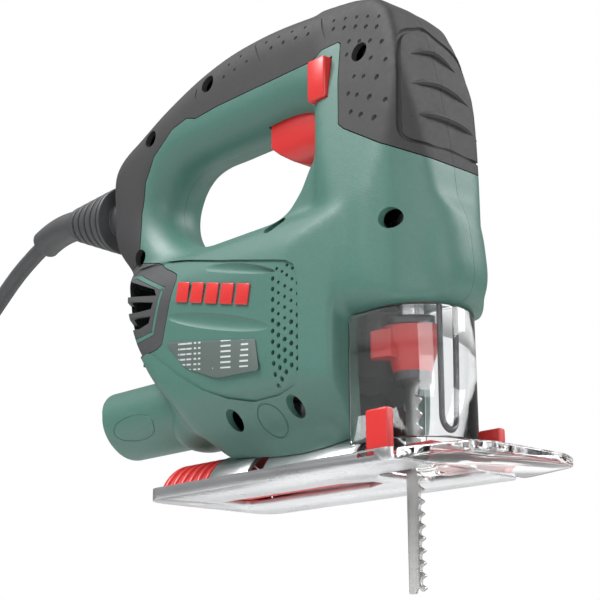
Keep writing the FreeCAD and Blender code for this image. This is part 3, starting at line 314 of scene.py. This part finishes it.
barrel_side = [
    (-12, 15), (-12, 62), (-8, 80), (-8, 105), (-38, 105.5), (-116, 110.5), (-157, 106.5), (-150, 92),
    (-146, 79.5), (-138, 64), (-127, 50), (-108, 29), (-93, 24), (-85, 15),
]
barrel_end = [(-13.5, 15), (-22, 24), (-31.5, 36), (-33, 46), (-33, 80), (-31.5, 88), (-27.5, 96),
              (-20, 101.8), (-10, 105.5), (10, 105.5), (20, 101.8), (27.5, 96), (31.5, 88), (33, 80),
              (33, 46), (31.5, 36), (22, 24), (13.5, 15)]
barrel_above = [(-160, -12), (-148, -26), (-132, -33), (-36, -33), (-18, -30), (-8, -28),
                (-8, 28), (-18, 30), (-36, 33.4), (-132, 33.4), (-148, 26), (-160, 12)]
rear_corner = [(150, -10), (-70, -10), (-84, 27), (-94, 40), (-102, 50), (-109.5, 64), (-114.5, 79),
               (-116.5, 95), (-116.5, 120), (150, 120)]
nose_end = [(-22, 57), (-26.4, 62), (-27.4, 70), (-27, 97), (-24.4, 119), (-21, 147), (-16, 178),
            (-8, 193.5), (8, 193.5), (16, 178), (21, 147), (24.4, 119), (27, 97), (27.4, 70),
            (26.4, 62), (22, 57)]
nose_above = [(-35.5, -12), (-32.5, -16), (-25, -23), (-13, -27.4), (3, -27.2), (13, -23.4), (20, -17),
              (26, -9), (30, 0), (26, 9), (20, 17), (13, 23.4), (3, 27.2), (-13, 27.4), (-25, 23),
              (-32.5, 16), (-35.5, 12)]
turned = {"side": (90, 0, 0), "end": (90, 0, 90), "above": (0, 0, 0)}


def plate(name, outlines, view, half, round_over=0.0, shift=(0, 0, 0), smooth=False, shrink=0.0):
    """A thick plate cut to flat outlines, seen from the side, an end or above, as a mesh."""
    flat = bpy.data.curves.new(name, "CURVE")
    flat.dimensions, flat.fill_mode = "2D", "BOTH"
    for outline in outlines:
        run = flat.splines.new("BEZIER")
        run.bezier_points.add(len(outline) - 1)
        for bend, (first, second) in zip(run.bezier_points, outline):
            bend.co = (first * mm, second * mm, 0)
            bend.handle_left_type = bend.handle_right_type = "AUTO" if smooth else "VECTOR"
        run.use_cyclic_u = True
        run.resolution_u = 5 if smooth else 1
    flat.extrude = (half - round_over) * mm
    flat.bevel_depth, flat.bevel_resolution = round_over * mm, 4
    flat.offset = -(round_over + shrink) * mm
    piece = bpy.data.objects.new(name, flat)
    bpy.context.scene.collection.objects.link(piece)
    piece.rotation_euler = [math.radians(angle) for angle in turned[view]]
    piece.location = [offset * mm for offset in shift]
    bpy.ops.object.select_all(action="DESELECT")
    bpy.context.view_layer.objects.active = piece
    piece.select_set(True)
    bpy.ops.object.convert(target="MESH")
    piece = bpy.context.object
    bpy.ops.object.transform_apply(location=True, rotation=True, scale=True)
    bpy.ops.object.mode_set(mode="EDIT")
    bpy.ops.mesh.select_all(action="SELECT")
    bpy.ops.mesh.remove_doubles(threshold=0.000002)
    bpy.ops.mesh.normals_make_consistent(inside=False)
    bpy.ops.object.mode_set(mode="OBJECT")
    return piece


def carve(piece, tool, operation="DIFFERENCE", keep=False):
    """Cuts, joins or meets a piece with a tool shape, and throws the tool away."""
    step = piece.modifiers.new("carve", "BOOLEAN")
    step.operation, step.solver, step.object = operation, "MANIFOLD", tool
    bpy.ops.object.select_all(action="DESELECT")
    bpy.context.view_layer.objects.active = piece
    piece.select_set(True)
    bpy.ops.object.modifier_apply(modifier="carve")
    if not keep:
        bpy.data.objects.remove(tool)
    return piece


def joined(name, pieces):
    """Several pieces made one object."""
    bpy.ops.object.select_all(action="DESELECT")
    for piece in pieces:
        piece.select_set(True)
    bpy.context.view_layer.objects.active = pieces[0]
    bpy.ops.object.join()
    bpy.context.object.name = name
    return bpy.context.object


def twin(piece, name):
    """A second piece with its own mesh."""
    copy = bpy.data.objects.new(name, piece.data.copy())
    bpy.context.scene.collection.objects.link(copy)
    return copy


def melted(piece, grain, passes):
    """Runs a piece's parts together into one skin and softens its edges."""
    bpy.ops.object.select_all(action="DESELECT")
    bpy.context.view_layer.objects.active = piece
    piece.select_set(True)
    skin = piece.modifiers.new("skin", "REMESH")
    skin.mode, skin.voxel_size = "VOXEL", grain * mm
    bpy.ops.object.modifier_apply(modifier="skin")
    ease = piece.modifiers.new("ease", "SMOOTH")
    ease.factor, ease.iterations = 0.5, passes
    bpy.ops.object.modifier_apply(modifier="ease")
    return piece


def pin(name, radius, length, place, along="y", sides=32):
    """A round bar centred on a place in millimetres."""
    turn = {"x": (0, math.pi / 2, 0), "y": (math.pi / 2, 0, 0), "z": (0, 0, 0)}[along]
    bpy.ops.mesh.primitive_cylinder_add(vertices=sides, radius=radius * mm, depth=length * mm,
                                        location=[part * mm for part in place], rotation=turn)
    bpy.context.object.name = name
    bpy.ops.object.transform_apply(location=True, rotation=True, scale=True)
    return bpy.context.object


ring = plate("handle_ring", [side_view, finger_hole], "side", 16.8, round_over=14.5, smooth=True)
barrel = plate("barrel", [barrel_side], "side", 60)
carve(barrel, plate("barrel_above", [barrel_above], "above", 300), "INTERSECT")
carve(barrel, plate("barrel_end", [barrel_end], "end", 200), "INTERSECT")
for swing in (-45, 45):
    corner = plate("rear_corner", [rear_corner], "side", 300)
    corner.data.transform(Matrix.Rotation(math.radians(swing), 4, "Z"))
    carve(barrel, corner, "INTERSECT")
nose = plate("nose", [side_view], "side", 60)
carve(nose, plate("nose_above", [nose_above], "above", 300), "INTERSECT")
carve(nose, plate("nose_end", [nose_end], "end", 200), "INTERSECT")
web = plate("web", [[(-26, 70), (-26, 126), (-34.5, 121), (-39, 113), (-45.5, 106.6), (-56, 102), (-56, 70)]],
            "side", 19.5, round_over=4)
casing = melted(joined("casing", [ring, barrel, nose, web]), 1.1, 44)

wall = 2.6
hollow = twin(casing, "hollow")
bpy.ops.object.select_all(action="DESELECT")
bpy.context.view_layer.objects.active = hollow
hollow.select_set(True)
inward = hollow.modifiers.new("inward", "DISPLACE")
inward.strength, inward.mid_level = -wall * mm, 0
bpy.ops.object.modifier_apply(modifier="inward")
melted(hollow, 2.2, 4)

flank_field = [
    (-220, 104), (-124, 104), (-112.5, 100.2), (-72, 89.4), (-46, 83.2), (-31.8, 79.8), (-28.2, 77.6),
    (-26.4, 73.5), (-26, 42), (-27, 37), (-31, 33), (-40, 31.2), (-54, 31), (-67, 34), (-80, 39.2),
    (-92, 46), (-102, 52.6), (-112, 59), (-220, 59),
]
flank_step = 0.9
sunk = twin(casing, "sunk")
bpy.ops.object.select_all(action="DESELECT")
bpy.context.view_layer.objects.active = sunk
sunk.select_set(True)
sink = sunk.modifiers.new("sink", "DISPLACE")
sink.strength, sink.mid_level = -flank_step * mm, 0
bpy.ops.object.modifier_apply(modifier="sink")
for side in (-1, 1):
    field = plate("flank_field", [flank_field], "side", 20, shift=(0, side * 37, 0))
    carve(field, sunk, keep=True)
    carve(casing, field)
bpy.data.objects.remove(sunk)

for side in (-1, 1):
    for spot, size, lean in (((-71, 32.6, 64.2), (33, 1.5, 3.4), 14.7),
                             ((-74, 31.6, 87.2), (40, 1.4, 2.4), 15.9)):
        bpy.ops.mesh.primitive_uv_sphere_add(segments=48, ring_count=24, radius=mm, scale=size,
                                             location=(spot[0] * mm, side * spot[1] * mm, spot[2] * mm),
                                             rotation=(0, math.radians(lean), 0))
        wave = bpy.context.object
        bpy.ops.object.transform_apply(location=True, rotation=True, scale=True)
        carve(casing, wave)


def bead(name, line, widths, closed=False):
    """A round bar along a smooth line, thicker and thinner from point to point."""
    run = bpy.data.curves.new(name, "CURVE")
    run.dimensions, run.bevel_depth, run.bevel_resolution = "3D", mm, 2
    run.use_fill_caps = True
    path = run.splines.new("BEZIER")
    path.bezier_points.add(len(line) - 1)
    for bend, spot, width in zip(path.bezier_points, line, widths):
        bend.co, bend.radius = Vector(spot) * mm, width
        bend.handle_left_type = bend.handle_right_type = "AUTO"
    path.use_cyclic_u, path.resolution_u = closed, 5
    piece = bpy.data.objects.new(name, run)
    bpy.context.scene.collection.objects.link(piece)
    bpy.ops.object.select_all(action="DESELECT")
    bpy.context.view_layer.objects.active = piece
    piece.select_set(True)
    bpy.ops.object.convert(target="MESH")
    piece = bpy.context.object
    bpy.ops.object.mode_set(mode="EDIT")
    bpy.ops.mesh.select_all(action="SELECT")
    bpy.ops.mesh.remove_doubles(threshold=0.000002)
    bpy.ops.mesh.normals_make_consistent(inside=False)
    bpy.ops.object.mode_set(mode="OBJECT")
    return piece


def on_skin(piece, along, high, side):
    """Where a line across the saw, at a place seen from the side, meets a piece."""
    landed = piece.ray_cast(Vector((along, side * 60, high)) * mm, Vector((0, -side, 0)))
    return landed[1] / mm


for side in (-1, 1):
    ring_line = []
    for angle in [math.radians(30 * step) for step in range(12)]:
        ring_line.append(on_skin(casing, -49.8 + 6.6 * math.cos(angle), 24.2 + 5.6 * math.sin(angle), side))
    carve(casing, bead("disc_groove", ring_line, [0.4] * 12, closed=True))

spout_radius, spout_level = 15.5, 41.5
spout = pin("spout", spout_radius, 60, (-144, 0, spout_level), "x", 96)
carve(spout, plate("spout_end", [[(-200, 90), (-178, 90), (-174, 58), (-168, 44), (-165, 30), (-164, 10),
                                  (-200, 10)]], "side", 30))
oval_points = [(-156, 7), (-136, 7), (-133, 14), (-133, 30), (-136, 38), (-154, 38), (-158.5, 31), (-160, 22),
               (-158.5, 13)]
for side in (-1, 1):
    oval = []
    for along, fall in oval_points:
        angle = math.radians(fall)
        oval.append((along, side * spout_radius * math.cos(angle),
                     spout_level - spout_radius * math.sin(angle)))
    carve(spout, bead("spout_groove", oval, [0.35] * 9, closed=True))
carve(casing, spout, "UNION")

openings = [
    pin("shoe_groove", 19.1, 300, (-80, 0, 0), "x", 96),
    pin("dust_bore", 12.6, 52, (-167, 0, spout_level), "x", 64),
    pin("rod_way", 5.5, 14, (0, 0, 58), "z"),
]
for name, low, high in (("trigger_way", (-67, -9, 123), (-36.6, 9, 163)),
                        ("button_way", (-30.2, -40, 143.4), (-19.8, -8, 161.2)),
                        ("clamp_bay", (-17, -11.7, 17), (-8, 11.7, 56)),
                        ("suction_way", (-18, -9, 31), (-6, 9, 44))):
    bpy.ops.mesh.primitive_cube_add(size=1, location=[(a + b) / 2 * mm for a, b in zip(low, high)])
    opening = bpy.context.object
    opening.name = name
    opening.scale = [(b - a) * mm for a, b in zip(low, high)]
    bpy.ops.object.transform_apply(location=True, rotation=True, scale=True)
    openings.append(opening)
well_radius = 3.9
screw_spots = [(-97.6, 176.6, 8), (-5, 157.3, 12), (-136.7, 163.4, 8), (12.4, 86.7, 14), (-46.7, 98.6, 14),
               (-68.8, 26.7, 14), (-34.9, 26.9, 12), (-142, 109.5, 8)]
for number, (along, high, floor_depth) in enumerate(screw_spots):
    openings.append(pin(f"screw_well_{number}", well_radius, 40, (along, -floor_depth - 20, high), sides=40))
breather_spots = [(-36.7, 77.6, 0.7), (-34.1, 76, 0.65), (-31.8, 78, 0.7), (-31.9, 74.2, 0.7),
                  (-29.3, 76.3, 0.7), (-29.5, 72.3, 0.7)]
for column, (top, count) in enumerate(((74.2, 11), (72.2, 10), (70.2, 9), (68.2, 8), (70.3, 9))):
    for row in range(count):
        wide = column == 0 or row > count - 3 - column or (column == 1 and row > 3)
        breather_spots.append((-38.8 + 2.95 * column, top - 3.98 * row, 0.95 if wide else 0.7))
holes = []
for along, high, size in breather_spots:
    holes += [pin("breather", size, 9, (along, side * 33, high), sides=12) for side in (-1, 1)]
openings.append(joined("breathers", holes))

vent_edge = [(-220, 107), (-141, 107), (-128, 104), (-102.5, 91.8), (-99, 89.8), (-98, 87), (-104.6, 61.5),
             (-108, 60), (-118, 58.6), (-220, 57)]
grip_edge = [
    (-220, 107), (-146, 107), (-142, 111), (-142.5, 130), (-140, 144), (-134, 154), (-121, 163), (-111, 165),
    (-105, 163), (-90, 164), (-33, 164.2), (-29.5, 164.4), (-26.5, 166.2), (-17.4, 166.2), (-16, 165),
    (-15, 150), (-12.6, 129.6), (-9.5, 126.8), (9.5, 115.2), (20.5, 109.8), (24, 108.3), (70, 96), (70, 260),
    (-220, 260),
]
for tool in openings:
    carve(casing, tool)
boot_way = pin("boot_way", 9.6, 16, (0, 0, 0), "x", 48)
boot_way.data.transform(Matrix.Translation(Vector((-164, 0, 136.8)) * mm)
                        @ Matrix.Rotation(math.radians(11.2), 4, "Y"))
carve(casing, boot_way)

shell = carve(twin(casing, "shell"), hollow)
bpy.data.objects.remove(casing)
grip = carve(twin(shell, "grip"), plate("grip_field", [grip_edge], "side", 60, shrink=0.2), "INTERSECT")
finger_dots = [
    (-21.6, 177.6, 0.9), (-14.9, 175.8, 0.9), (-8.5, 173.9, 0.9), (-2.3, 171.7, 0.9), (3.8, 169.3, 0.9),
    (-21, 173.5, 1.1), (-14.9, 171.7, 1.1), (-8.6, 169.7, 1.1), (-2.7, 167.4, 1.1), (3.2, 165, 1.1),
    (-11.1, 164.2, 1.1), (-5.4, 162.1, 1.1), (0.3, 160.1, 1.1), (6.7, 157.4, 1.2), (-11.6, 158.6, 1.0),
    (1.8, 152.2, 1.1), (9.7, 148.7, 1.1), (-6.2, 147.3, 1.0), (-1.1, 145.5, 1.0), (5.9, 142.7, 1.3),
    (-8.5, 140.9, 1.1), (-3.8, 138.8, 1.1), (2.9, 135.7, 1.4), (11, 131.9, 1.2), (-6.4, 132.6, 1.2),
    (-1, 129.8, 1.3), (6.1, 126.2, 1.4), (-86.6, 175.8, 0.9), (-79.7, 176.8, 0.8), (-72.1, 177.9, 0.8),
    (-57.2, 178.6, 1.0), (-50, 178.5, 1.0), (-42.7, 177.8, 1.0), (-35.5, 176.8, 1.0), (-61.2, 183, 0.8),
    (-53.6, 182.6, 0.8), (-45.8, 182.1, 0.8), (-38.2, 181.2, 0.8), (-76.9, 182.3, 0.8), (-84.2, 180.9, 0.8),
]
dots = []
for along, high, size in finger_dots:
    for side in (-1, 1):
        spot = on_skin(grip, along, high, side) + Vector((0, side * 0.35 * size, 0))
        bpy.ops.mesh.primitive_uv_sphere_add(segments=14, ring_count=8, radius=size * mm, location=spot * mm)
        bpy.ops.object.transform_apply(location=True, rotation=True, scale=True)
        dots.append(bpy.context.object)
carve(grip, joined("finger_dots", dots))
for side in (-1, 1):
    for line in (((-68.6, 184.4), (-65.4, 179.2), (-63.4, 174.8)),
                 ((-29.9, 182), (-27.3, 176.4), (-25.5, 171.3)),
                 ((-105, 176.6), (-105.1, 173.4), (-103.7, 170.6))):
        crease = [on_skin(grip, along, high, side) for along, high in line]
        carve(grip, bead("crease", crease, (0.3, 0.55, 0.25)))
half_window = [(10.4, 0, 167), (10.8, -5, 165.3), (11.7, -11.4, 162.4), (12.6, -15.5, 159.1),
               (13.3, -17.4, 155.5), (15.7, -20.3, 140.2), (15.9, -20.9, 127.4), (15.9, -20.9, 120.2),
               (16.4, -20.3, 117.4), (18, -18.8, 115.6), (21.4, -12.6, 114.2), (22, 0, 114.8)]
window_line = half_window + [(ahead, -side, up) for ahead, side, up in reversed(half_window[1:-1])]
groove_widths = [0.8 if spot[0] > 16 else 1.25 for spot in window_line]
carve(grip, bead("window_groove", window_line, groove_widths, closed=True))
for half_rib in (((14.5, -12.2, 152), (14.1, -5, 155.2), (13.9, 0, 156.1)),
                 ((17.4, -16, 138), (17.1, -8.8, 140.5), (16.9, 0, 141.8)),
                 ((18.8, -18, 124.6), (19.8, -10, 126.7), (19.7, 0, 127.6))):
    rib_line = half_rib + tuple((ahead, -side, up) for ahead, side, up in half_rib[1::-1])
    carve(grip, bead("nose_rib", rib_line, (0.15, 1.35, 1.6, 1.35, 0.15)), "UNION")
hard = carve(shell, plate("grip_gap", [grip_edge], "side", 60, shrink=-0.2))
band_field = plate("band_field", [vent_edge], "side", 60, shrink=0.2)
carve(band_field, plate("band_gap", [vent_edge], "side", 61, shrink=6.6))
inner_field = plate("inner_field", [vent_edge], "side", 60, shrink=8.6)
louvres = [
    [(-141.5, 98), (-126, 91.8), (-112, 86.2), (-110, 83), (-126, 86), (-141.5, 89)],
    [(-141, 86.6), (-126, 83.8), (-111.4, 80.4), (-112.6, 77.8), (-122, 78.2), (-140, 80.6)],
    [(-139.5, 78), (-123, 76.2), (-112.6, 74.8), (-113.8, 72), (-120, 70.8), (-138, 73)],
]
for number, louvre in enumerate(louvres):
    for side in (-1, 1):
        carve(inner_field, plate(f"louvre_{number}", [louvre], "side", 25, shift=(0, side * 35, 0)))
band_outer = carve(twin(hard, "band_outer"), band_field, "INTERSECT", keep=True)
band_inner = carve(twin(hard, "band_inner"), inner_field, "INTERSECT")
vent_band = joined("vent_band_moulding", [band_outer, band_inner])
outer_gap = plate("outer_gap", [vent_edge], "side", 60, shrink=-0.15)
carve(outer_gap, plate("strip", [vent_edge], "side", 61, shrink=6.8))
carve(hard, outer_gap)
carve(hard, plate("inner_gap", [vent_edge], "side", 60, shrink=8.4))
bpy.data.objects.remove(band_field)

nylon = Finish("green_nylon", (0.043, 0.118, 0.095), 0.46)
grain = nylon.noise(2400, 2)
mottle = nylon.noise(500, 4)
nylon.vary(mottle, (0.052, 0.135, 0.110))
nylon.shine(nylon.noise(900, 3), 0.2)
nylon.relief(grain + mottle * 0.4, 0.00007)

soft = Finish("grip_rubber", (0.022, 0.022, 0.023), 0.66, Specular_IOR_Level=0.34)
soft.vary(soft.noise(70, 4), (0.030, 0.030, 0.032))
soft.shine(soft.noise(500), 0.14)
soft.relief(soft.noise(2000, 2), 0.00005)


def halved(piece, name, finish):
    """The right and left halves of a moulding, parted along the saw's middle."""
    parting_gap = 0.06 * mm
    reach = 100 * mm
    for side, tag in ((-1, "right"), (1, "left")):
        offset = side * (reach / 2 + parting_gap)
        bpy.ops.mesh.primitive_cube_add(size=1, location=(-70 * mm, offset, 100 * mm))
        half_space = bpy.context.object
        half_space.scale = (300 * mm, reach, 300 * mm)
        bpy.ops.object.transform_apply(location=True, rotation=True, scale=True)
        half = carve(twin(piece, f"{name}_{tag}_moulding"), half_space, "INTERSECT")
        settled(half, finish, "tool", [f"{name}_{tag}"])
    bpy.data.objects.remove(piece)


def settled(piece, finish, body, nodes, smooth=32):
    """A finished piece: its finish, its smooth shading and the CAD parts it stands for."""
    bpy.ops.object.select_all(action="DESELECT")
    bpy.context.view_layer.objects.active = piece
    piece.select_set(True)
    bpy.ops.object.shade_smooth_by_angle(angle=math.radians(smooth))
    piece.data.materials.clear()
    piece.data.materials.append(finish.material)
    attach(piece, body)
    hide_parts(*nodes)


halved(hard, "housing", nylon)
halved(grip, "grip", soft)
hard_grey = Finish("vent_plastic", (0.034, 0.035, 0.037), 0.6, Specular_IOR_Level=0.4)
hard_grey.vary(hard_grey.noise(60), (0.044, 0.045, 0.048))
hard_grey.shine(hard_grey.noise(300), 0.15)
hard_grey.relief(hard_grey.noise(1200, 2), 0.00008)
settled(vent_band, hard_grey, "tool", ["vent_band"])


# ---------------------------------------------------------------- boot on the lead
# A ribbed rubber boot that keeps the flex from kinking where it leaves the handle. It is one
# moulding, and its plain end bends down with the weight of the lead.
softened("strain_relief", rubber, 0.5 * mm)


# ---------------------------------------------------------------- casing screws
# Eight thread-forming screws, zinc plated, with a round recess in the head. They are sunk in
# deep wells on the near side and hold the two casing halves together.
screw_steel = Finish("screw_steel", (0.30, 0.30, 0.30), 0.38, Metallic=1.0)
screw_steel.shine(screw_steel.noise(400), 0.2)
dressed(screw_steel, "housing_screws")


# ---------------------------------------------------------------- trigger and lock button
# Glossy red acetal mouldings: the trigger slides up into the handle and the button beside
# it holds it there. Their edges are well rounded for the fingers.
red = Finish("red_acetal", (0.54, 0.026, 0.024), 0.34)
red.vary(red.noise(35), (0.46, 0.020, 0.020))
red.shine(red.noise(260), 0.14)
red.relief(red.noise(1500, 2), 0.00004)
trigger_view = [(-66.4, 154), (-66.4, 140), (-62, 136.2), (-56, 132.2), (-50, 129.6), (-44, 128.4),
                (-37, 128.2), (-37, 154)]
trigger_end = [(-8.4, 160), (-8.4, 138.6), (-7.7, 135.4), (-5.8, 131.6), (-3, 129), (3, 129), (5.8, 131.6),
               (7.7, 135.4), (8.4, 138.6), (8.4, 160)]
trigger_blade = plate("trigger_moulding", [trigger_view], "side", 8.4)
carve(trigger_blade, plate("trigger_end", [trigger_end], "end", 200), "INTERSECT")
rounding = trigger_blade.modifiers.new("edges", "BEVEL")
rounding.width, rounding.segments, rounding.limit_method = 0.7 * mm, 3, "ANGLE"
rounding.angle_limit = math.radians(24)
bpy.ops.object.modifier_apply(modifier="edges")
settled(trigger_blade, red, "trigger", ["trigger"], 40)
button = softened("lock_button", red, 1.0 * mm)
outer_face, set_back = -22 * mm, 3.2 * mm
for point in button.data.vertices:
    if point.co.y < outer_face:
        point.co.y += set_back


# ---------------------------------------------------------------- plates on the flank
# A dark printed plate let into the near flank, with plain ruled lines in place of print, and
# five slanted red bars above it as a plain badge.
plate_grey = Finish("plate_print", (0.070, 0.092, 0.086), 0.5)
x, z = plate_grey.axes()[::2]
slope = z + x * 0.13
dash = plate_grey.noise(420, 0, (1, 0, 0.02))
lines = (abs(slope.wrapped(2.1 * mm) - 1.05 * mm) < 0.33 * mm) * (dash > 0.47)
printed = (slope > 36.5 * mm) * (slope < 48.2 * mm) * (x > -96 * mm) * (x < -51 * mm)
plate_grey.feed("Base Color", plate_grey.mix(lines * printed, plate_grey.colour, (0.42, 0.45, 0.44, 1)))
softened("rating_plate", plate_grey, 0.15 * mm)
softened("badge", red, 0.35 * mm)


# ---------------------------------------------------------------- shoe, saddle and rivets
# The footplate is pressed from 2 mm sheet, the saddle from 1.6 mm, both zinc plated. The rim is
# turned up along both sides, and four rivets fix the saddle.
zinc = Finish("zinc_plating", (0.74, 0.75, 0.76), 0.30, Metallic=1.0)
zinc.vary(zinc.noise(18, 5), (0.52, 0.53, 0.55))
zinc.shine(zinc.noise(90, 6, (0.25, 1, 1)), 0.34)
zinc.relief(zinc.noise(160, 5) + zinc.noise(25) * 2, 0.00018)
softened("shoe_plate", zinc, 0.9 * mm)
softened("saddle", zinc, 0.5 * mm)
softened("shoe_rivets", zinc, 0.4 * mm)


# ---------------------------------------------------------------- bevel slide
# The red lever that frees the tilting shoe: a ribbed half-round grip and a flat tongue. It is
# one acetal moulding that slides fore and aft along the saddle.
softened("bevel_slide", red, 0.5 * mm)


# ---------------------------------------------------------------- clear hood and sight
# Polycarbonate chip hood and cutting sight, polished in the mould, with a red clip that holds
# the sight to the shoe.
clear = Finish("polycarbonate", (0.96, 0.97, 0.975), 0.04, Transmission_Weight=1.0, IOR=1.5)
clear.shine(clear.noise(40), 0.05)
clear.relief(clear.noise(30, 2), 0.0002)
softened("clear_hood", clear, 0.6 * mm)
softened("sight_plate", clear, 0.9 * mm)
softened("sight_clip", red, 0.5 * mm)


# ---------------------------------------------------------------- blade, clamp and guard
# Hardened blade with ground teeth, in a blackened clamp under a red quick-change collar. A
# bent steel wire in front keeps fingers off.
blade_steel = Finish("ground_steel", (0.45, 0.45, 0.445), 0.34, Metallic=1.0)
blade_steel.shine(blade_steel.noise(260, 4, (1, 1, 0.05)), 0.3)
blade_steel.relief(blade_steel.noise(600, 3, (0.08, 1, 1)), 0.00005)
softened("blade", blade_steel, 0.12 * mm)
blackened = Finish("blackened_steel", (0.055, 0.055, 0.058), 0.42, Metallic=0.8)
blackened.vary(blackened.noise(80), (0.12, 0.12, 0.125))
blackened.shine(blackened.noise(300), 0.2)
softened("blade_clamp", blackened, 0.3 * mm)
softened("wire_guard", blackened, 0)
softened("clamp_collar", red, 0.5 * mm)


# ---------------------------------------------------------------- inside the casing
# What drives the blade: a universal motor with its fan, the gears, the crank and the rod, with
# the switch and its wiring parts. Steel, copper, bronze and castings, held between the halves.
bright = Finish("turned_steel", (0.60, 0.60, 0.61), 0.25, Metallic=1.0)
bright.shine(bright.noise(200, 4, (0.1, 1, 1)), 0.25)
dressed(bright, "armature_shaft", "rear_bearing", "front_bearing", "plunger_rod", "gear_axle",
        "eccentric_pin", "saddle_screw", "trigger_spring", "pinion", "drive_gear", "scotch_yoke")
laminated = Finish("core_steel", (0.34, 0.35, 0.36), 0.45, Metallic=0.9)
x = laminated.axes()[0]
laminated.relief(abs(x.wrapped(0.5 * mm)) * (1 / mm), 0.0001)
laminated.shine(laminated.noise(150), 0.2)
dressed(laminated, "stator", "armature_core")
copper = Finish("enamelled_copper", (0.62, 0.24, 0.10), 0.32, Metallic=0.9)
copper.vary(copper.noise(300, 2, (0.1, 1, 1)), (0.45, 0.14, 0.06))
copper.relief(copper.noise(500, 2, (0.1, 1, 1)), 0.0003)
dressed(copper, "field_coils", "armature_windings", "commutator")
bronze = Finish("sintered_bronze", (0.50, 0.34, 0.16), 0.42, Metallic=1.0)
bronze.relief(bronze.noise(900), 0.0001)
bronze.shine(bronze.noise(200), 0.2)
dressed(bronze, "gear_bush", "plunger_bushes")
cast = Finish("die_casting", (0.50, 0.51, 0.52), 0.5, Metallic=0.9)
cast.relief(cast.noise(500, 4), 0.0002)
cast.shine(cast.noise(90), 0.25)
dressed(cast, "gear_plate", "lock_block", "foot_block")
dressed(hard_grey, "fan", "brush_holders", "switch", "cord_clamp", "capacitor")
carbon = Finish("brush_carbon", (0.025, 0.025, 0.027), 0.6)
carbon.shine(carbon.noise(300), 0.2)
dressed(carbon, "carbon_brushes")
